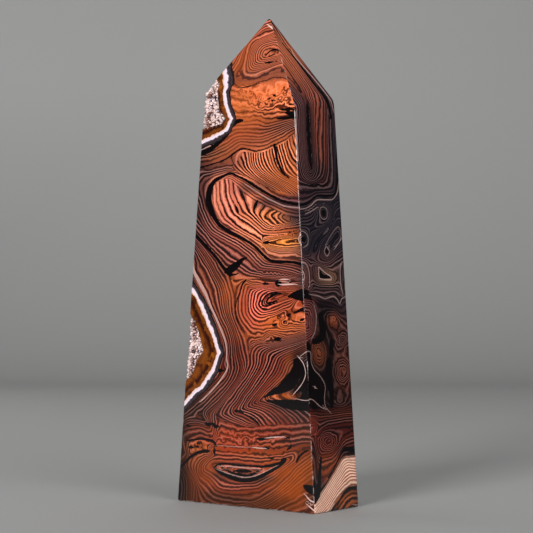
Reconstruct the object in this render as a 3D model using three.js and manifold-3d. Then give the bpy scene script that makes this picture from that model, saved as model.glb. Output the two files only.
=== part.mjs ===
// Banded agate tower: one slab of agate, cut to a tapering four-sided tower with a pyramid tip and
// polished. Two hollows along its left front edge are lined with small quartz crystals.
// Millimetres, +Z up. The origin is the middle of the base, the wide front face looks towards -Y.
import * as THREE from "three";
import { ConvexGeometry } from "three/addons/geometries/ConvexGeometry.js";
import { mergeVertices } from "three/addons/utils/BufferGeometryUtils.js";
import Module from "manifold-3d";

// Tower
const TOWER_HEIGHT = 200;
const BASE_WIDTH = 70.5;
const BASE_DEPTH = 30;
const SHOULDER_HEIGHT = 165;
const SHOULDER_WIDTH = 47;
const SHOULDER_DEPTH = 27.6;
const SHOULDER_OFFSET = { x: 0.7, y: 0.5 };
const APEX_OFFSET = { x: 1, y: 0.8 };
// The hand-ground tip starts at its own height on each upright edge.
const CORNER_HEIGHTS = { frontLeft: 168.9, frontRight: 158.6, backRight: 164.4, backLeft: 166 };
const EDGE_BREAK = 0.35;

// Chips along the right front edge of the tip: share of the way from shoulder to apex,
// radius of the scoop, and how deep it bites.
const CHIPS = [
  { along: 0.03, radius: 2.6, bite: 0.75 },
  { along: 0.13, radius: 1.9, bite: 0.55 },
  { along: 0.22, radius: 1.6, bite: 0.6 },
  { along: 0.985, radius: 1.2, bite: 0.3 },
];

// Hollows in the left front edge: at each height, how far the hollow reaches from the edge
// along the front face and along the left face.
const UPPER_HOLLOW = [
  { height: 153.9, front: 0, side: 0 },
  { height: 155, front: 11, side: 3.5 },
  { height: 157.6, front: 12.6, side: 6 },
  { height: 159.4, front: 10, side: 7.2 },
  { height: 161, front: 8.7, side: 7.6 },
  { height: 164, front: 8.1, side: 8 },
  { height: 168, front: 7, side: 7.2 },
  { height: 171.5, front: 4.9, side: 5 },
  { height: 174.6, front: 0, side: 0 },
];
const LOWER_HOLLOW = [
  { height: 49.6, front: 0, side: 0 },
  { height: 51.5, front: 3, side: 2 },
  { height: 54, front: 4.3, side: 3.4 },
  { height: 58.5, front: 5.6, side: 5 },
  { height: 62, front: 8.9, side: 6.4 },
  { height: 66, front: 7.1, side: 7 },
  { height: 70, front: 5.5, side: 5.6 },
  { height: 73.5, front: 3, side: 3.4 },
  { height: 78, front: 0, side: 0 },
];
const HOLLOW_MARGIN = 0.6;
const HOLLOW_ROUNDNESS = 2.2;
const HOLLOW_SIDES = 40;
const HOLLOW_RINGS = 26;

// Crystals: six-sided quartz points on a solid bed, just below the polished faces.
const CRYSTAL_SPACING = 2.1;
const CRYSTAL_RADIUS = { least: 1.7, most: 2.5 };
const CRYSTAL_HEIGHT = { least: 2.9, most: 3.6 };
const CRYSTAL_LEAN = 0.5;
const TIP_DEPTH = { least: 0.15, most: 0.75 };
const EDGE_TIP_DEPTH = { least: 0.35, most: 0.9 };
const EDGE_CLEARANCE = 1.4;
const BED_DEPTH = 1.7;
const WALL_GAP = 0.45;
const RANDOM_SEED = 11;

// Corners of the tower before its edges are broken

// A point on an upright edge of the side faces: left or right is the sign of i, front or back of j.
function edgePoint(i, j, height) {
  const share = height / SHOULDER_HEIGHT;
  const x = ((1 - share) * i * BASE_WIDTH) / 2 + share * (SHOULDER_OFFSET.x + (i * SHOULDER_WIDTH) / 2);
  const y = ((1 - share) * j * BASE_DEPTH) / 2 + share * (SHOULDER_OFFSET.y + (j * SHOULDER_DEPTH) / 2);
  return new THREE.Vector3(x, y, height);
}

const baseCorners = [
  edgePoint(-1, -1, 0),
  edgePoint(1, -1, 0),
  edgePoint(1, 1, 0),
  edgePoint(-1, 1, 0),
];
const shoulderCorners = [
  edgePoint(-1, -1, CORNER_HEIGHTS.frontLeft),
  edgePoint(1, -1, CORNER_HEIGHTS.frontRight),
  edgePoint(1, 1, CORNER_HEIGHTS.backRight),
  edgePoint(-1, 1, CORNER_HEIGHTS.backLeft),
];
const apex = new THREE.Vector3(APEX_OFFSET.x, APEX_OFFSET.y, TOWER_HEIGHT);

// Each face's corners, anticlockwise seen from outside: base, four sides, four facets of the tip.
const sideFaces = baseCorners.map((corner, i) => {
  const next = (i + 1) % baseCorners.length;
  return [corner, baseCorners[next], shoulderCorners[next], shoulderCorners[i]];
});
const tipFacets = shoulderCorners.map((corner, i) => {
  const next = (i + 1) % shoulderCorners.length;
  return [corner, shoulderCorners[next], apex];
});
const towerFaces = [[...baseCorners].reverse(), ...sideFaces, ...tipFacets];

// A face's outline drawn in by the same distance from every side.
function insetFace(corners, distance) {
  const normal = new THREE.Plane().setFromCoplanarPoints(corners[0], corners[1], corners[2]).normal;
  return corners.map((corner, i) => {
    const before = corners[(i + corners.length - 1) % corners.length];
    const after = corners[(i + 1) % corners.length];
    const arriving = corner.clone().sub(before).normalize();
    const leaving = after.clone().sub(corner).normalize();
    const inwardArriving = normal.clone().cross(arriving);
    const inwardLeaving = normal.clone().cross(leaving);
    const reach = distance / (1 + inwardArriving.dot(inwardLeaving));
    return corner.clone().addScaledVector(inwardArriving.add(inwardLeaving), reach);
  });
}

// Solids

const wasm = await Module();
wasm.setup();

function solidOf(geometry) {
  const bare = geometry.clone();
  bare.deleteAttribute("normal");
  bare.deleteAttribute("uv");
  const merged = mergeVertices(bare, 1e-4);
  return new wasm.Manifold(
    new wasm.Mesh({
      numProp: 3,
      vertProperties: merged.attributes.position.array,
      triVerts: new Uint32Array(merged.index.array),
    }),
  );
}

// Without the crumbs that a cut leaves loose.
function largestBody(solid) {
  return solid.decompose().reduce((largest, body) => (body.volume() > largest.volume() ? body : largest));
}

function meshOf(name, solid, material) {
  const { vertProperties, triVerts } = solid.getMesh();
  const geometry = new THREE.BufferGeometry();
  geometry.setAttribute("position", new THREE.BufferAttribute(vertProperties, 3));
  geometry.setIndex(new THREE.BufferAttribute(triVerts, 1));
  const mesh = new THREE.Mesh(geometry, material);
  mesh.name = name;
  return mesh;
}

// Hollows

// The reach of a hollow at a height, in straight steps between the rows of its profile.
function reachAt(profile, height) {
  const found = profile.findIndex((row) => row.height >= height);
  const above = found < 0 ? profile.length - 1 : Math.max(1, found);
  const low = profile[above - 1];
  const high = profile[above];
  const share = THREE.MathUtils.clamp((height - low.height) / (high.height - low.height), 0, 1);
  return {
    front: THREE.MathUtils.lerp(low.front, high.front, share),
    side: THREE.MathUtils.lerp(low.side, high.side, share),
  };
}

// The same reach drawn in by an inset, sideways and up and down.
function reachInside(profile, height, inset) {
  const levels = [height - inset, height, height + inset].map((level) => reachAt(profile, level));
  return {
    front: Math.min(...levels.map((reach) => reach.front)) - inset,
    side: Math.min(...levels.map((reach) => reach.side)) - inset,
  };
}

// The left front edge of the tower at a height: the upright edge, then the ridge up to the apex.
function leftEdgeAt(height) {
  if (height <= CORNER_HEIGHTS.frontLeft) return edgePoint(-1, -1, height);
  const share = (height - CORNER_HEIGHTS.frontLeft) / (TOWER_HEIGHT - CORNER_HEIGHTS.frontLeft);
  return shoulderCorners[0].clone().lerp(apex, share);
}

// The body that a hollow takes out of the edge: a sphere whose rings are pushed out to superellipse
// quarters that reach along the front face (+X) and along the left face (+Y).
function hollowBody(profile, inset) {
  const lowest = profile[0].height;
  const highest = profile[profile.length - 1].height;
  const geometry = new THREE.SphereGeometry(1, HOLLOW_SIDES, HOLLOW_RINGS);
  const position = geometry.attributes.position;
  const power = 2 / HOLLOW_ROUNDNESS;
  for (let i = 0; i < position.count; i++) {
    const polar = Math.acos(THREE.MathUtils.clamp(position.getY(i), -1, 1)) / Math.PI;
    const height = THREE.MathUtils.lerp(highest, lowest, polar);
    const reach = reachInside(profile, height, inset);
    const edge = leftEdgeAt(height);
    const ringRadius = Math.hypot(position.getX(i), position.getZ(i));
    const cosine = ringRadius > 1e-6 ? position.getX(i) / ringRadius : 0;
    const sine = ringRadius > 1e-6 ? -position.getZ(i) / ringRadius : 0;
    const frontRadius = HOLLOW_MARGIN + (cosine > 0 ? reach.front : 0);
    const sideRadius = HOLLOW_MARGIN + (sine > 0 ? reach.side : 0);
    const x = Math.sign(cosine) * frontRadius * Math.abs(cosine) ** power;
    const y = Math.sign(sine) * sideRadius * Math.abs(sine) ** power;
    position.setXYZ(i, edge.x - HOLLOW_MARGIN + x, edge.y - HOLLOW_MARGIN + y, height);
  }
  return geometry;
}

function isInHollow(profile, point) {
  if (point.z <= profile[0].height || point.z >= profile[profile.length - 1].height) return false;
  const reach = reachAt(profile, point.z);
  const edge = leftEdgeAt(point.z);
  const front = Math.max(point.x - edge.x + HOLLOW_MARGIN, 0) / (reach.front + HOLLOW_MARGIN);
  const side = Math.max(point.y - edge.y + HOLLOW_MARGIN, 0) / (reach.side + HOLLOW_MARGIN);
  return front ** HOLLOW_ROUNDNESS + side ** HOLLOW_ROUNDNESS < 1;
}

// Tower and its stone

const sharpTower = new ConvexGeometry(towerFaces.flat());
const polishedTower = new ConvexGeometry(towerFaces.flatMap((face) => insetFace(face, EDGE_BREAK)));
// The faces that a hollow opens on: front and left sides, and the tip's front and left facets.
const openFaces = [sideFaces[0], sideFaces[3], tipFacets[0], tipFacets[3]];

// The tower with its front and left faces moved in by a depth.
function towerInside(depth) {
  let inside = solidOf(sharpTower);
  for (const corners of openFaces) {
    const plane = new THREE.Plane().setFromCoplanarPoints(corners[0], corners[1], corners[2]);
    const move = plane.normal.clone().multiplyScalar(-depth);
    inside = inside.intersect(solidOf(sharpTower.clone().translate(move.x, move.y, move.z)));
  }
  return inside;
}

// A shallow scoop with flat faces, as a splinter knocked off the right front ridge leaves.
function chipBody({ along, radius, bite }) {
  const onRidge = shoulderCorners[1].clone().lerp(apex, along);
  const outward = new THREE.Vector3(1, -1, 0.6).normalize();
  const centre = onRidge.addScaledVector(outward, radius - bite);
  return new THREE.IcosahedronGeometry(radius, 1).translate(centre.x, centre.y, centre.z);
}

function stoneSolid() {
  let stone = solidOf(polishedTower);
  for (const chip of CHIPS) {
    stone = stone.subtract(solidOf(chipBody(chip)));
  }
  for (const profile of [UPPER_HOLLOW, LOWER_HOLLOW]) {
    stone = stone.subtract(solidOf(hollowBody(profile, 0)));
  }
  return stone;
}

// Crystals

// A repeatable random number between two limits.
let randomState = RANDOM_SEED;
function randomBetween(least, most) {
  randomState = (randomState * 48271) % 2147483647;
  return least + (most - least) * (randomState / 2147483647);
}

// One crystal: a six-sided point whose tip is at a place and leans a little from a direction.
function crystalGeometry({ tip, direction }) {
  const lean = new THREE.Vector3();
  lean.x = randomBetween(-CRYSTAL_LEAN, CRYSTAL_LEAN);
  lean.y = randomBetween(-CRYSTAL_LEAN, CRYSTAL_LEAN);
  lean.z = randomBetween(-CRYSTAL_LEAN, CRYSTAL_LEAN);
  const axis = direction.clone().addScaledVector(lean, 0.5).normalize();
  const radius = randomBetween(CRYSTAL_RADIUS.least, CRYSTAL_RADIUS.most);
  const height = randomBetween(CRYSTAL_HEIGHT.least, CRYSTAL_HEIGHT.most);
  const geometry = new THREE.ConeGeometry(radius, height, 6);
  geometry.rotateY(randomBetween(0, Math.PI));
  geometry.translate(0, -height / 2, 0);
  geometry.applyQuaternion(new THREE.Quaternion().setFromUnitVectors(new THREE.Vector3(0, 1, 0), axis));
  return geometry.translate(tip.x, tip.y, tip.z);
}

// Crystals on one face: tips on a shifted grid over the face, kept where the hollow is.
function faceCrystals(profile, corners) {
  const plane = new THREE.Plane().setFromCoplanarPoints(corners[0], corners[1], corners[2]);
  const across = corners[1].clone().sub(corners[0]).normalize();
  const up = plane.normal.clone().cross(across);
  const width = corners[1].distanceTo(corners[0]);
  const rise = corners[2].distanceTo(corners[0]);
  const crystals = [];
  for (let row = 0; row * CRYSTAL_SPACING < rise; row++) {
    const shift = (row % 2) / 2;
    for (let column = 0; column * CRYSTAL_SPACING < width; column++) {
      const tip = corners[0]
        .clone()
        .addScaledVector(across, (column + shift + randomBetween(-0.25, 0.25)) * CRYSTAL_SPACING)
        .addScaledVector(up, (row + randomBetween(-0.25, 0.25)) * CRYSTAL_SPACING)
        .addScaledVector(plane.normal, -randomBetween(TIP_DEPTH.least, TIP_DEPTH.most));
      const edge = leftEdgeAt(tip.z);
      const fromEdge = Math.hypot(tip.x - edge.x, tip.y - edge.y);
      if (fromEdge > EDGE_CLEARANCE && isInHollow(profile, tip)) crystals.push({ tip, direction: plane.normal });
    }
  }
  return crystals;
}

// Crystals along the edge, which look out between its two faces.
function edgeCrystals(profile) {
  const outward = new THREE.Vector3(-1, -1, 0).normalize();
  const highest = profile[profile.length - 1].height;
  const crystals = [];
  for (let height = profile[0].height; height < highest; height += CRYSTAL_SPACING) {
    const depth = randomBetween(EDGE_TIP_DEPTH.least, EDGE_TIP_DEPTH.most);
    const tip = leftEdgeAt(height).addScaledVector(outward, -depth);
    if (isInHollow(profile, tip)) crystals.push({ tip, direction: outward });
  }
  return crystals;
}

// The crust of one hollow: a bed that follows the hollow's wall, with the crystals grown on it.
function crustSolid(profile) {
  let crust = towerInside(BED_DEPTH);
  const crystals = openFaces.flatMap((corners) => faceCrystals(profile, corners));
  for (const crystal of [...crystals, ...edgeCrystals(profile)]) {
    crust = crust.add(solidOf(crystalGeometry(crystal)));
  }
  const room = solidOf(hollowBody(profile, WALL_GAP));
  return largestBody(crust.intersect(room).intersect(towerInside(TIP_DEPTH.least)));
}

// Materials

const agateMaterial = new THREE.MeshStandardMaterial({ color: "#a9573a", roughness: 0.12, metalness: 0 });
const crystalMaterial = new THREE.MeshStandardMaterial({ color: "#e6dad6", roughness: 0.15, metalness: 0 });

// Assembly

const tower = new THREE.Group();
tower.add(meshOf("agate_stone", stoneSolid(), agateMaterial));
tower.add(meshOf("upper_crystal_crust", crustSolid(UPPER_HOLLOW), crystalMaterial));
tower.add(meshOf("lower_crystal_crust", crustSolid(LOWER_HOLLOW), crystalMaterial));

export default tower;
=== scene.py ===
# Banded agate tower: the polished stone with its bands, and the quartz crusts in its two hollows.
# Metres in the scene; the drawings of the bands are in millimetres on each face.
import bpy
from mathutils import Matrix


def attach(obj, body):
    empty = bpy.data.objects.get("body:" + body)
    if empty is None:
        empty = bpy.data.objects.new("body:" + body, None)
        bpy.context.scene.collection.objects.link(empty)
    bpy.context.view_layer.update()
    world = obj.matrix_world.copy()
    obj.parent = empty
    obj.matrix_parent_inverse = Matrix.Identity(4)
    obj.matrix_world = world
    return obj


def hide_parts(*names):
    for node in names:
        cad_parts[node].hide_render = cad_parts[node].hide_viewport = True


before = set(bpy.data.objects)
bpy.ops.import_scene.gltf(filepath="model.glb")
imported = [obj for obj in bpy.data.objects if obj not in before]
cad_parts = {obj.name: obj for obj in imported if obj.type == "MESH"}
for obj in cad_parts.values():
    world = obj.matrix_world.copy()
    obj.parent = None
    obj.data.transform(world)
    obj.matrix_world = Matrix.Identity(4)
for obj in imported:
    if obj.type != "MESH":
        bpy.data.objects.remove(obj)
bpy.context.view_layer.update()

import math

import bpy
import numpy as np
from mathutils import Vector

bl_info = {
    "name": "Banded agate tower",
    "version": (1, 0, 0),
    "blender": (4, 5, 0),
    "location": "View3D > Sidebar > Agate",
    "description": "Builds a polished banded agate tower with crystal-lined hollows",
    "category": "Object",
}

MM = 0.001

# Size of the tower, in millimetres, as in the solids
TOWER_HEIGHT = 200.0
BASE_SIZE = (70.5, 30.0)
SHOULDER_HEIGHT = 165.0
SHOULDER_SIZE = (47.0, 27.6)
SHOULDER_OFFSET = (0.7, 0.5)
APEX = np.array([1.0, 0.8, TOWER_HEIGHT])
# Height at which the tip starts on each upright edge: left front, right front, right back, left back
CORNER_HEIGHTS = (168.9, 158.6, 164.4, 166.0)
CORNER_SIDES = ((-1, -1), (1, -1), (1, 1), (-1, 1))
# Splinters off the right front ridge of the tip: share of the way up, scoop radius, bite
CHIPS = ((0.03, 2.6, 0.75), (0.13, 1.9, 0.55), (0.22, 1.6, 0.6), (0.985, 1.2, 0.3))

# Hollows: height, reach along the front face, reach along the left face
UPPER_HOLLOW = np.array([
    (153.9, 0, 0), (155, 11, 3.5), (157.6, 12.6, 6), (159.4, 10, 7.2), (161, 8.7, 7.6),
    (164, 8.1, 8), (168, 7, 7.2), (171.5, 4.9, 5), (174.6, 0, 0),
])
LOWER_HOLLOW = np.array([
    (49.6, 0, 0), (51.5, 3, 2), (54, 4.3, 3.4), (58.5, 5.6, 5), (62, 8.9, 6.4),
    (66, 7.1, 7), (70, 5.5, 5.6), (73.5, 3, 3.4), (78, 0, 0),
])
HOLLOW_MARGIN = 0.6
HOLLOW_ROUNDNESS = 2.2
BED_DEPTH = 1.7


# Tower geometry

def edge_point(corner, height):
    """A point on an upright edge: straight from the base corner through the shoulder's corner."""
    side_x, side_y = CORNER_SIDES[corner]
    share = np.asarray(height, float) / SHOULDER_HEIGHT
    x = (1 - share) * side_x * BASE_SIZE[0] / 2 + share * (SHOULDER_OFFSET[0] + side_x * SHOULDER_SIZE[0] / 2)
    y = (1 - share) * side_y * BASE_SIZE[1] / 2 + share * (SHOULDER_OFFSET[1] + side_y * SHOULDER_SIZE[1] / 2)
    return np.stack([x, y, share * SHOULDER_HEIGHT], -1)


BASE_CORNERS = np.array([edge_point(i, 0.0) for i in range(4)])
SHOULDER_CORNERS = np.array([edge_point(i, CORNER_HEIGHTS[i]) for i in range(4)])


def left_edge(height):
    """The left front edge at each height: the upright edge, then the ridge up to the apex."""
    height = np.asarray(height, float)
    share = np.clip((height - CORNER_HEIGHTS[0]) / (TOWER_HEIGHT - CORNER_HEIGHTS[0]), 0, 1)[..., None]
    ridge = SHOULDER_CORNERS[0] * (1 - share) + APEX * share
    return np.where(height[..., None] <= CORNER_HEIGHTS[0], edge_point(0, height), ridge)


def face_planes():
    """Outward unit normals and offsets of the base, the four sides and the four facets of the tip."""
    normals = [np.array([0.0, 0.0, -1.0])]
    offsets = [0.0]
    for i in range(4):
        after = (i + 1) % 4
        for a, b, c in ((BASE_CORNERS[i], BASE_CORNERS[after], SHOULDER_CORNERS[i]),
                        (SHOULDER_CORNERS[i], SHOULDER_CORNERS[after], APEX)):
            normal = np.cross(b - a, c - a)
            normal = normal / np.linalg.norm(normal)
            normals.append(normal)
            offsets.append(normal @ a)
    return np.array(normals), np.array(offsets)


PLANE_NORMALS, PLANE_OFFSETS = face_planes()
EDGE_SHARPNESS = 3.2


def round_edges(points):
    """Moves points onto the surface where the smooth maximum of the plane distances is zero:
    log(sum(exp(k d))) / k = 0. Faces stay flat and every edge gets a radius of about a third of a
    millimetre. A few Newton steps along the gradient, as whole arrays."""
    for _ in range(5):
        distance = points @ PLANE_NORMALS.T - PLANE_OFFSETS
        peak = distance.max(1, keepdims=True)
        weight = np.exp(EDGE_SHARPNESS * (distance - peak))
        total = weight.sum(1, keepdims=True)
        value = peak[:, 0] + np.log(total[:, 0]) / EDGE_SHARPNESS
        gradient = (weight / total) @ PLANE_NORMALS
        points = points - gradient * (value / np.maximum((gradient ** 2).sum(1), 0.2))[:, None]
    return points


def take_out_chips(points):
    """Moves each point inside a splinter's sphere straight inwards to the sphere's far side."""
    outward = np.array([1.0, -1.0, 0.6])
    outward = outward / np.linalg.norm(outward)
    for along, radius, bite in CHIPS:
        on_ridge = SHOULDER_CORNERS[1] * (1 - along) + APEX * along
        centre = on_ridge + outward * (radius - bite)
        away = points - centre
        length = np.linalg.norm(away, axis=1)
        along_outward = away @ outward
        across = away - along_outward[:, None] * outward
        reach = np.sqrt(np.maximum(radius ** 2 - (across ** 2).sum(1), 0.0))
        moved = centre + across - outward * reach[:, None]
        points = np.where((length < radius)[:, None], moved, points)
    return points


# Hollows in the left front edge

def reach_at(profile, height):
    """Reach of a hollow along the front and left faces at each height, in straight steps."""
    front = np.interp(height, profile[:, 0], profile[:, 1])
    side = np.interp(height, profile[:, 0], profile[:, 2])
    inside = (height > profile[0, 0]) & (height < profile[-1, 0])
    return np.where(inside, front, 0.0), np.where(inside, side, 0.0), inside


def superellipse(angle, front, side):
    """Point at an angle on the quarter |p/front|^n + |q/side|^n = 1."""
    power = 2 / HOLLOW_ROUNDNESS
    return front * np.cos(angle) ** power, side * np.sin(angle) ** power


def sink_hollow(points, profile, on_left):
    """Moves the points over a hollow onto its wall. A point keeps its height; its angle about the
    hollow's axis runs evenly from the rim of its face to the middle of the wall at 45 degrees."""
    height = points[:, 2]
    edge = left_edge(height)
    front, side, inside = reach_at(profile, height)
    reach_x = front + HOLLOW_MARGIN
    reach_y = side + HOLLOW_MARGIN
    p = np.maximum(points[:, 0] - edge[:, 0] + HOLLOW_MARGIN, 0)
    q = np.maximum(points[:, 1] - edge[:, 1] + HOLLOW_MARGIN, 0)
    roundness = (p / reach_x) ** HOLLOW_ROUNDNESS + (q / reach_y) ** HOLLOW_ROUNDNESS
    inside = inside & (roundness < 1)
    rim_front = np.arcsin(np.clip(q / reach_y, 0, 1) ** (HOLLOW_ROUNDNESS / 2))
    rim_left = np.arccos(np.clip(p / reach_x, 0, 1) ** (HOLLOW_ROUNDNESS / 2))
    middle = math.pi / 4
    share_front = np.clip(p / reach_x, 0, 1)
    share_left = np.clip(q / reach_y, 0, 1)
    angle_front = rim_front * share_front + middle * (1 - share_front)
    angle_left = rim_left * share_left + middle * (1 - share_left)
    angle = np.where(on_left, np.maximum(angle_left, middle), np.minimum(angle_front, middle))
    x, y = superellipse(angle, reach_x, reach_y)
    moved = np.stack([edge[:, 0] - HOLLOW_MARGIN + x, edge[:, 1] - HOLLOW_MARGIN + y, height], -1)
    return np.where(inside[:, None], moved, points)


# Grid of the stone

# Spacing of the columns on the front, right, back and left faces, and of the rows
COLUMN_SPACING = (0.56, 0.55, 0.95, 0.9)
ROW_SPACING = 0.6
EDGE_STEPS = np.array([0.012, 0.14, 0.28, 0.44, 0.66])


def steps_between(length, spacing):
    """Shares along a length: a few fine steps by each end, and even steps between them."""
    inner = np.linspace(1.0, length - 1.0, max(2, round((length - 2.0) / spacing) + 1))
    return np.concatenate([EDGE_STEPS, inner, (length - EDGE_STEPS)[::-1]]) / length


def closed_grid(rows, columns, poles):
    """Faces of a grid that closes round its columns, with a pole under row 0 and one over the last."""
    row, column = np.meshgrid(np.arange(rows - 1), np.arange(columns), indexing="ij")
    after = (column + 1) % columns
    quads = np.stack([row * columns + column, row * columns + after,
                      (row + 1) * columns + after, (row + 1) * columns + column], -1).reshape(-1, 4)
    around = np.arange(columns)
    following = (around + 1) % columns
    low = np.stack([np.full(columns, poles[0]), following, around], -1)
    top = (rows - 1) * columns
    high = np.stack([np.full(columns, poles[1]), top + around, top + following], -1)
    return quads, np.concatenate([low, high])


def stone_grid():
    """Vertices of the stone in millimetres, where each lay before the hollows sank, the face it lies
    on, and the mesh's faces.
    A column runs straight up its side face from the base to the shoulder, then straight to the apex;
    the base is a set of rings that shrink to its middle."""
    base, shoulder, face = [], [], []
    for i in range(4):
        after = (i + 1) % 4
        width = np.linalg.norm(BASE_CORNERS[after] - BASE_CORNERS[i])
        share = steps_between(width, COLUMN_SPACING[i])[:, None]
        base.append(BASE_CORNERS[i] * (1 - share) + BASE_CORNERS[after] * share)
        shoulder.append(SHOULDER_CORNERS[i] * (1 - share) + SHOULDER_CORNERS[after] * share)
        face.append(np.full(len(share), i))
    base, shoulder, face = np.concatenate(base), np.concatenate(shoulder), np.concatenate(face)
    centre = np.array([0.0, 0.0, 0.0])
    under = [centre + (base - centre) * share for share in (0.15, 0.4, 0.7, 0.9, 0.97, 0.99)]
    rows = np.linspace(1.0, 163.5, round(162.5 / ROW_SPACING))
    rise = np.concatenate([[0.0, 0.15, 0.3, 0.6], rows]) / 165.0
    body = [base * (1 - share) + shoulder * share for share in rise]
    tip_share = np.concatenate([[0.0, 0.01], np.linspace(0.022, 0.985, 66)])
    tip = [shoulder * (1 - share) + APEX * share for share in tip_share]
    rings = np.array(under + body + tip)
    rows, columns = rings.shape[:2]
    points = np.concatenate([rings.reshape(-1, 3), [centre, APEX]])
    quads, fans = closed_grid(rows, columns, (rows * columns, rows * columns + 1))
    face = np.concatenate([np.tile(face, rows), [0, 0]])
    points = round_edges(points)
    points = take_out_chips(points)
    flat = points
    for profile in (UPPER_HOLLOW, LOWER_HOLLOW):
        points = sink_hollow(points, profile, face == 3)
    return points, flat, face, quads, fans


def mesh_object(name, points, faces):
    """An object at the origin from points in millimetres and a list of face arrays."""
    mesh = bpy.data.meshes.new(name)
    sizes = np.concatenate([np.full(len(group), group.shape[1]) for group in faces])
    corners = np.concatenate([group.ravel() for group in faces])
    mesh.vertices.add(len(points))
    mesh.vertices.foreach_set("co", (points * MM).astype(np.float32).ravel())
    mesh.loops.add(len(corners))
    mesh.loops.foreach_set("vertex_index", corners.astype(np.int32))
    mesh.polygons.add(len(sizes))
    starts = np.concatenate([[0], np.cumsum(sizes)[:-1]])
    mesh.polygons.foreach_set("loop_start", starts.astype(np.int32))
    mesh.update(calc_edges=True)
    mesh.validate()
    piece = bpy.data.objects.new(name, mesh)
    bpy.context.scene.collection.objects.link(piece)
    return piece


def add_values(piece, name, values):
    """Keeps one number for each vertex."""
    attribute = piece.data.attributes.new(name, "FLOAT", "POINT")
    attribute.data.foreach_set("value", np.asarray(values, np.float32))


def add_colours(piece, name, colours):
    """Keeps one linear colour for each vertex."""
    attribute = piece.data.attributes.new(name, "FLOAT_COLOR", "POINT")
    opaque = np.concatenate([colours, np.ones((len(colours), 1))], 1)
    attribute.data.foreach_set("color", opaque.astype(np.float32).ravel())


# Drawings of the front face: x and height in millimetres, read off the face.
# A band line is its number and the points along it; lines in between fall out of the numbers.

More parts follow.
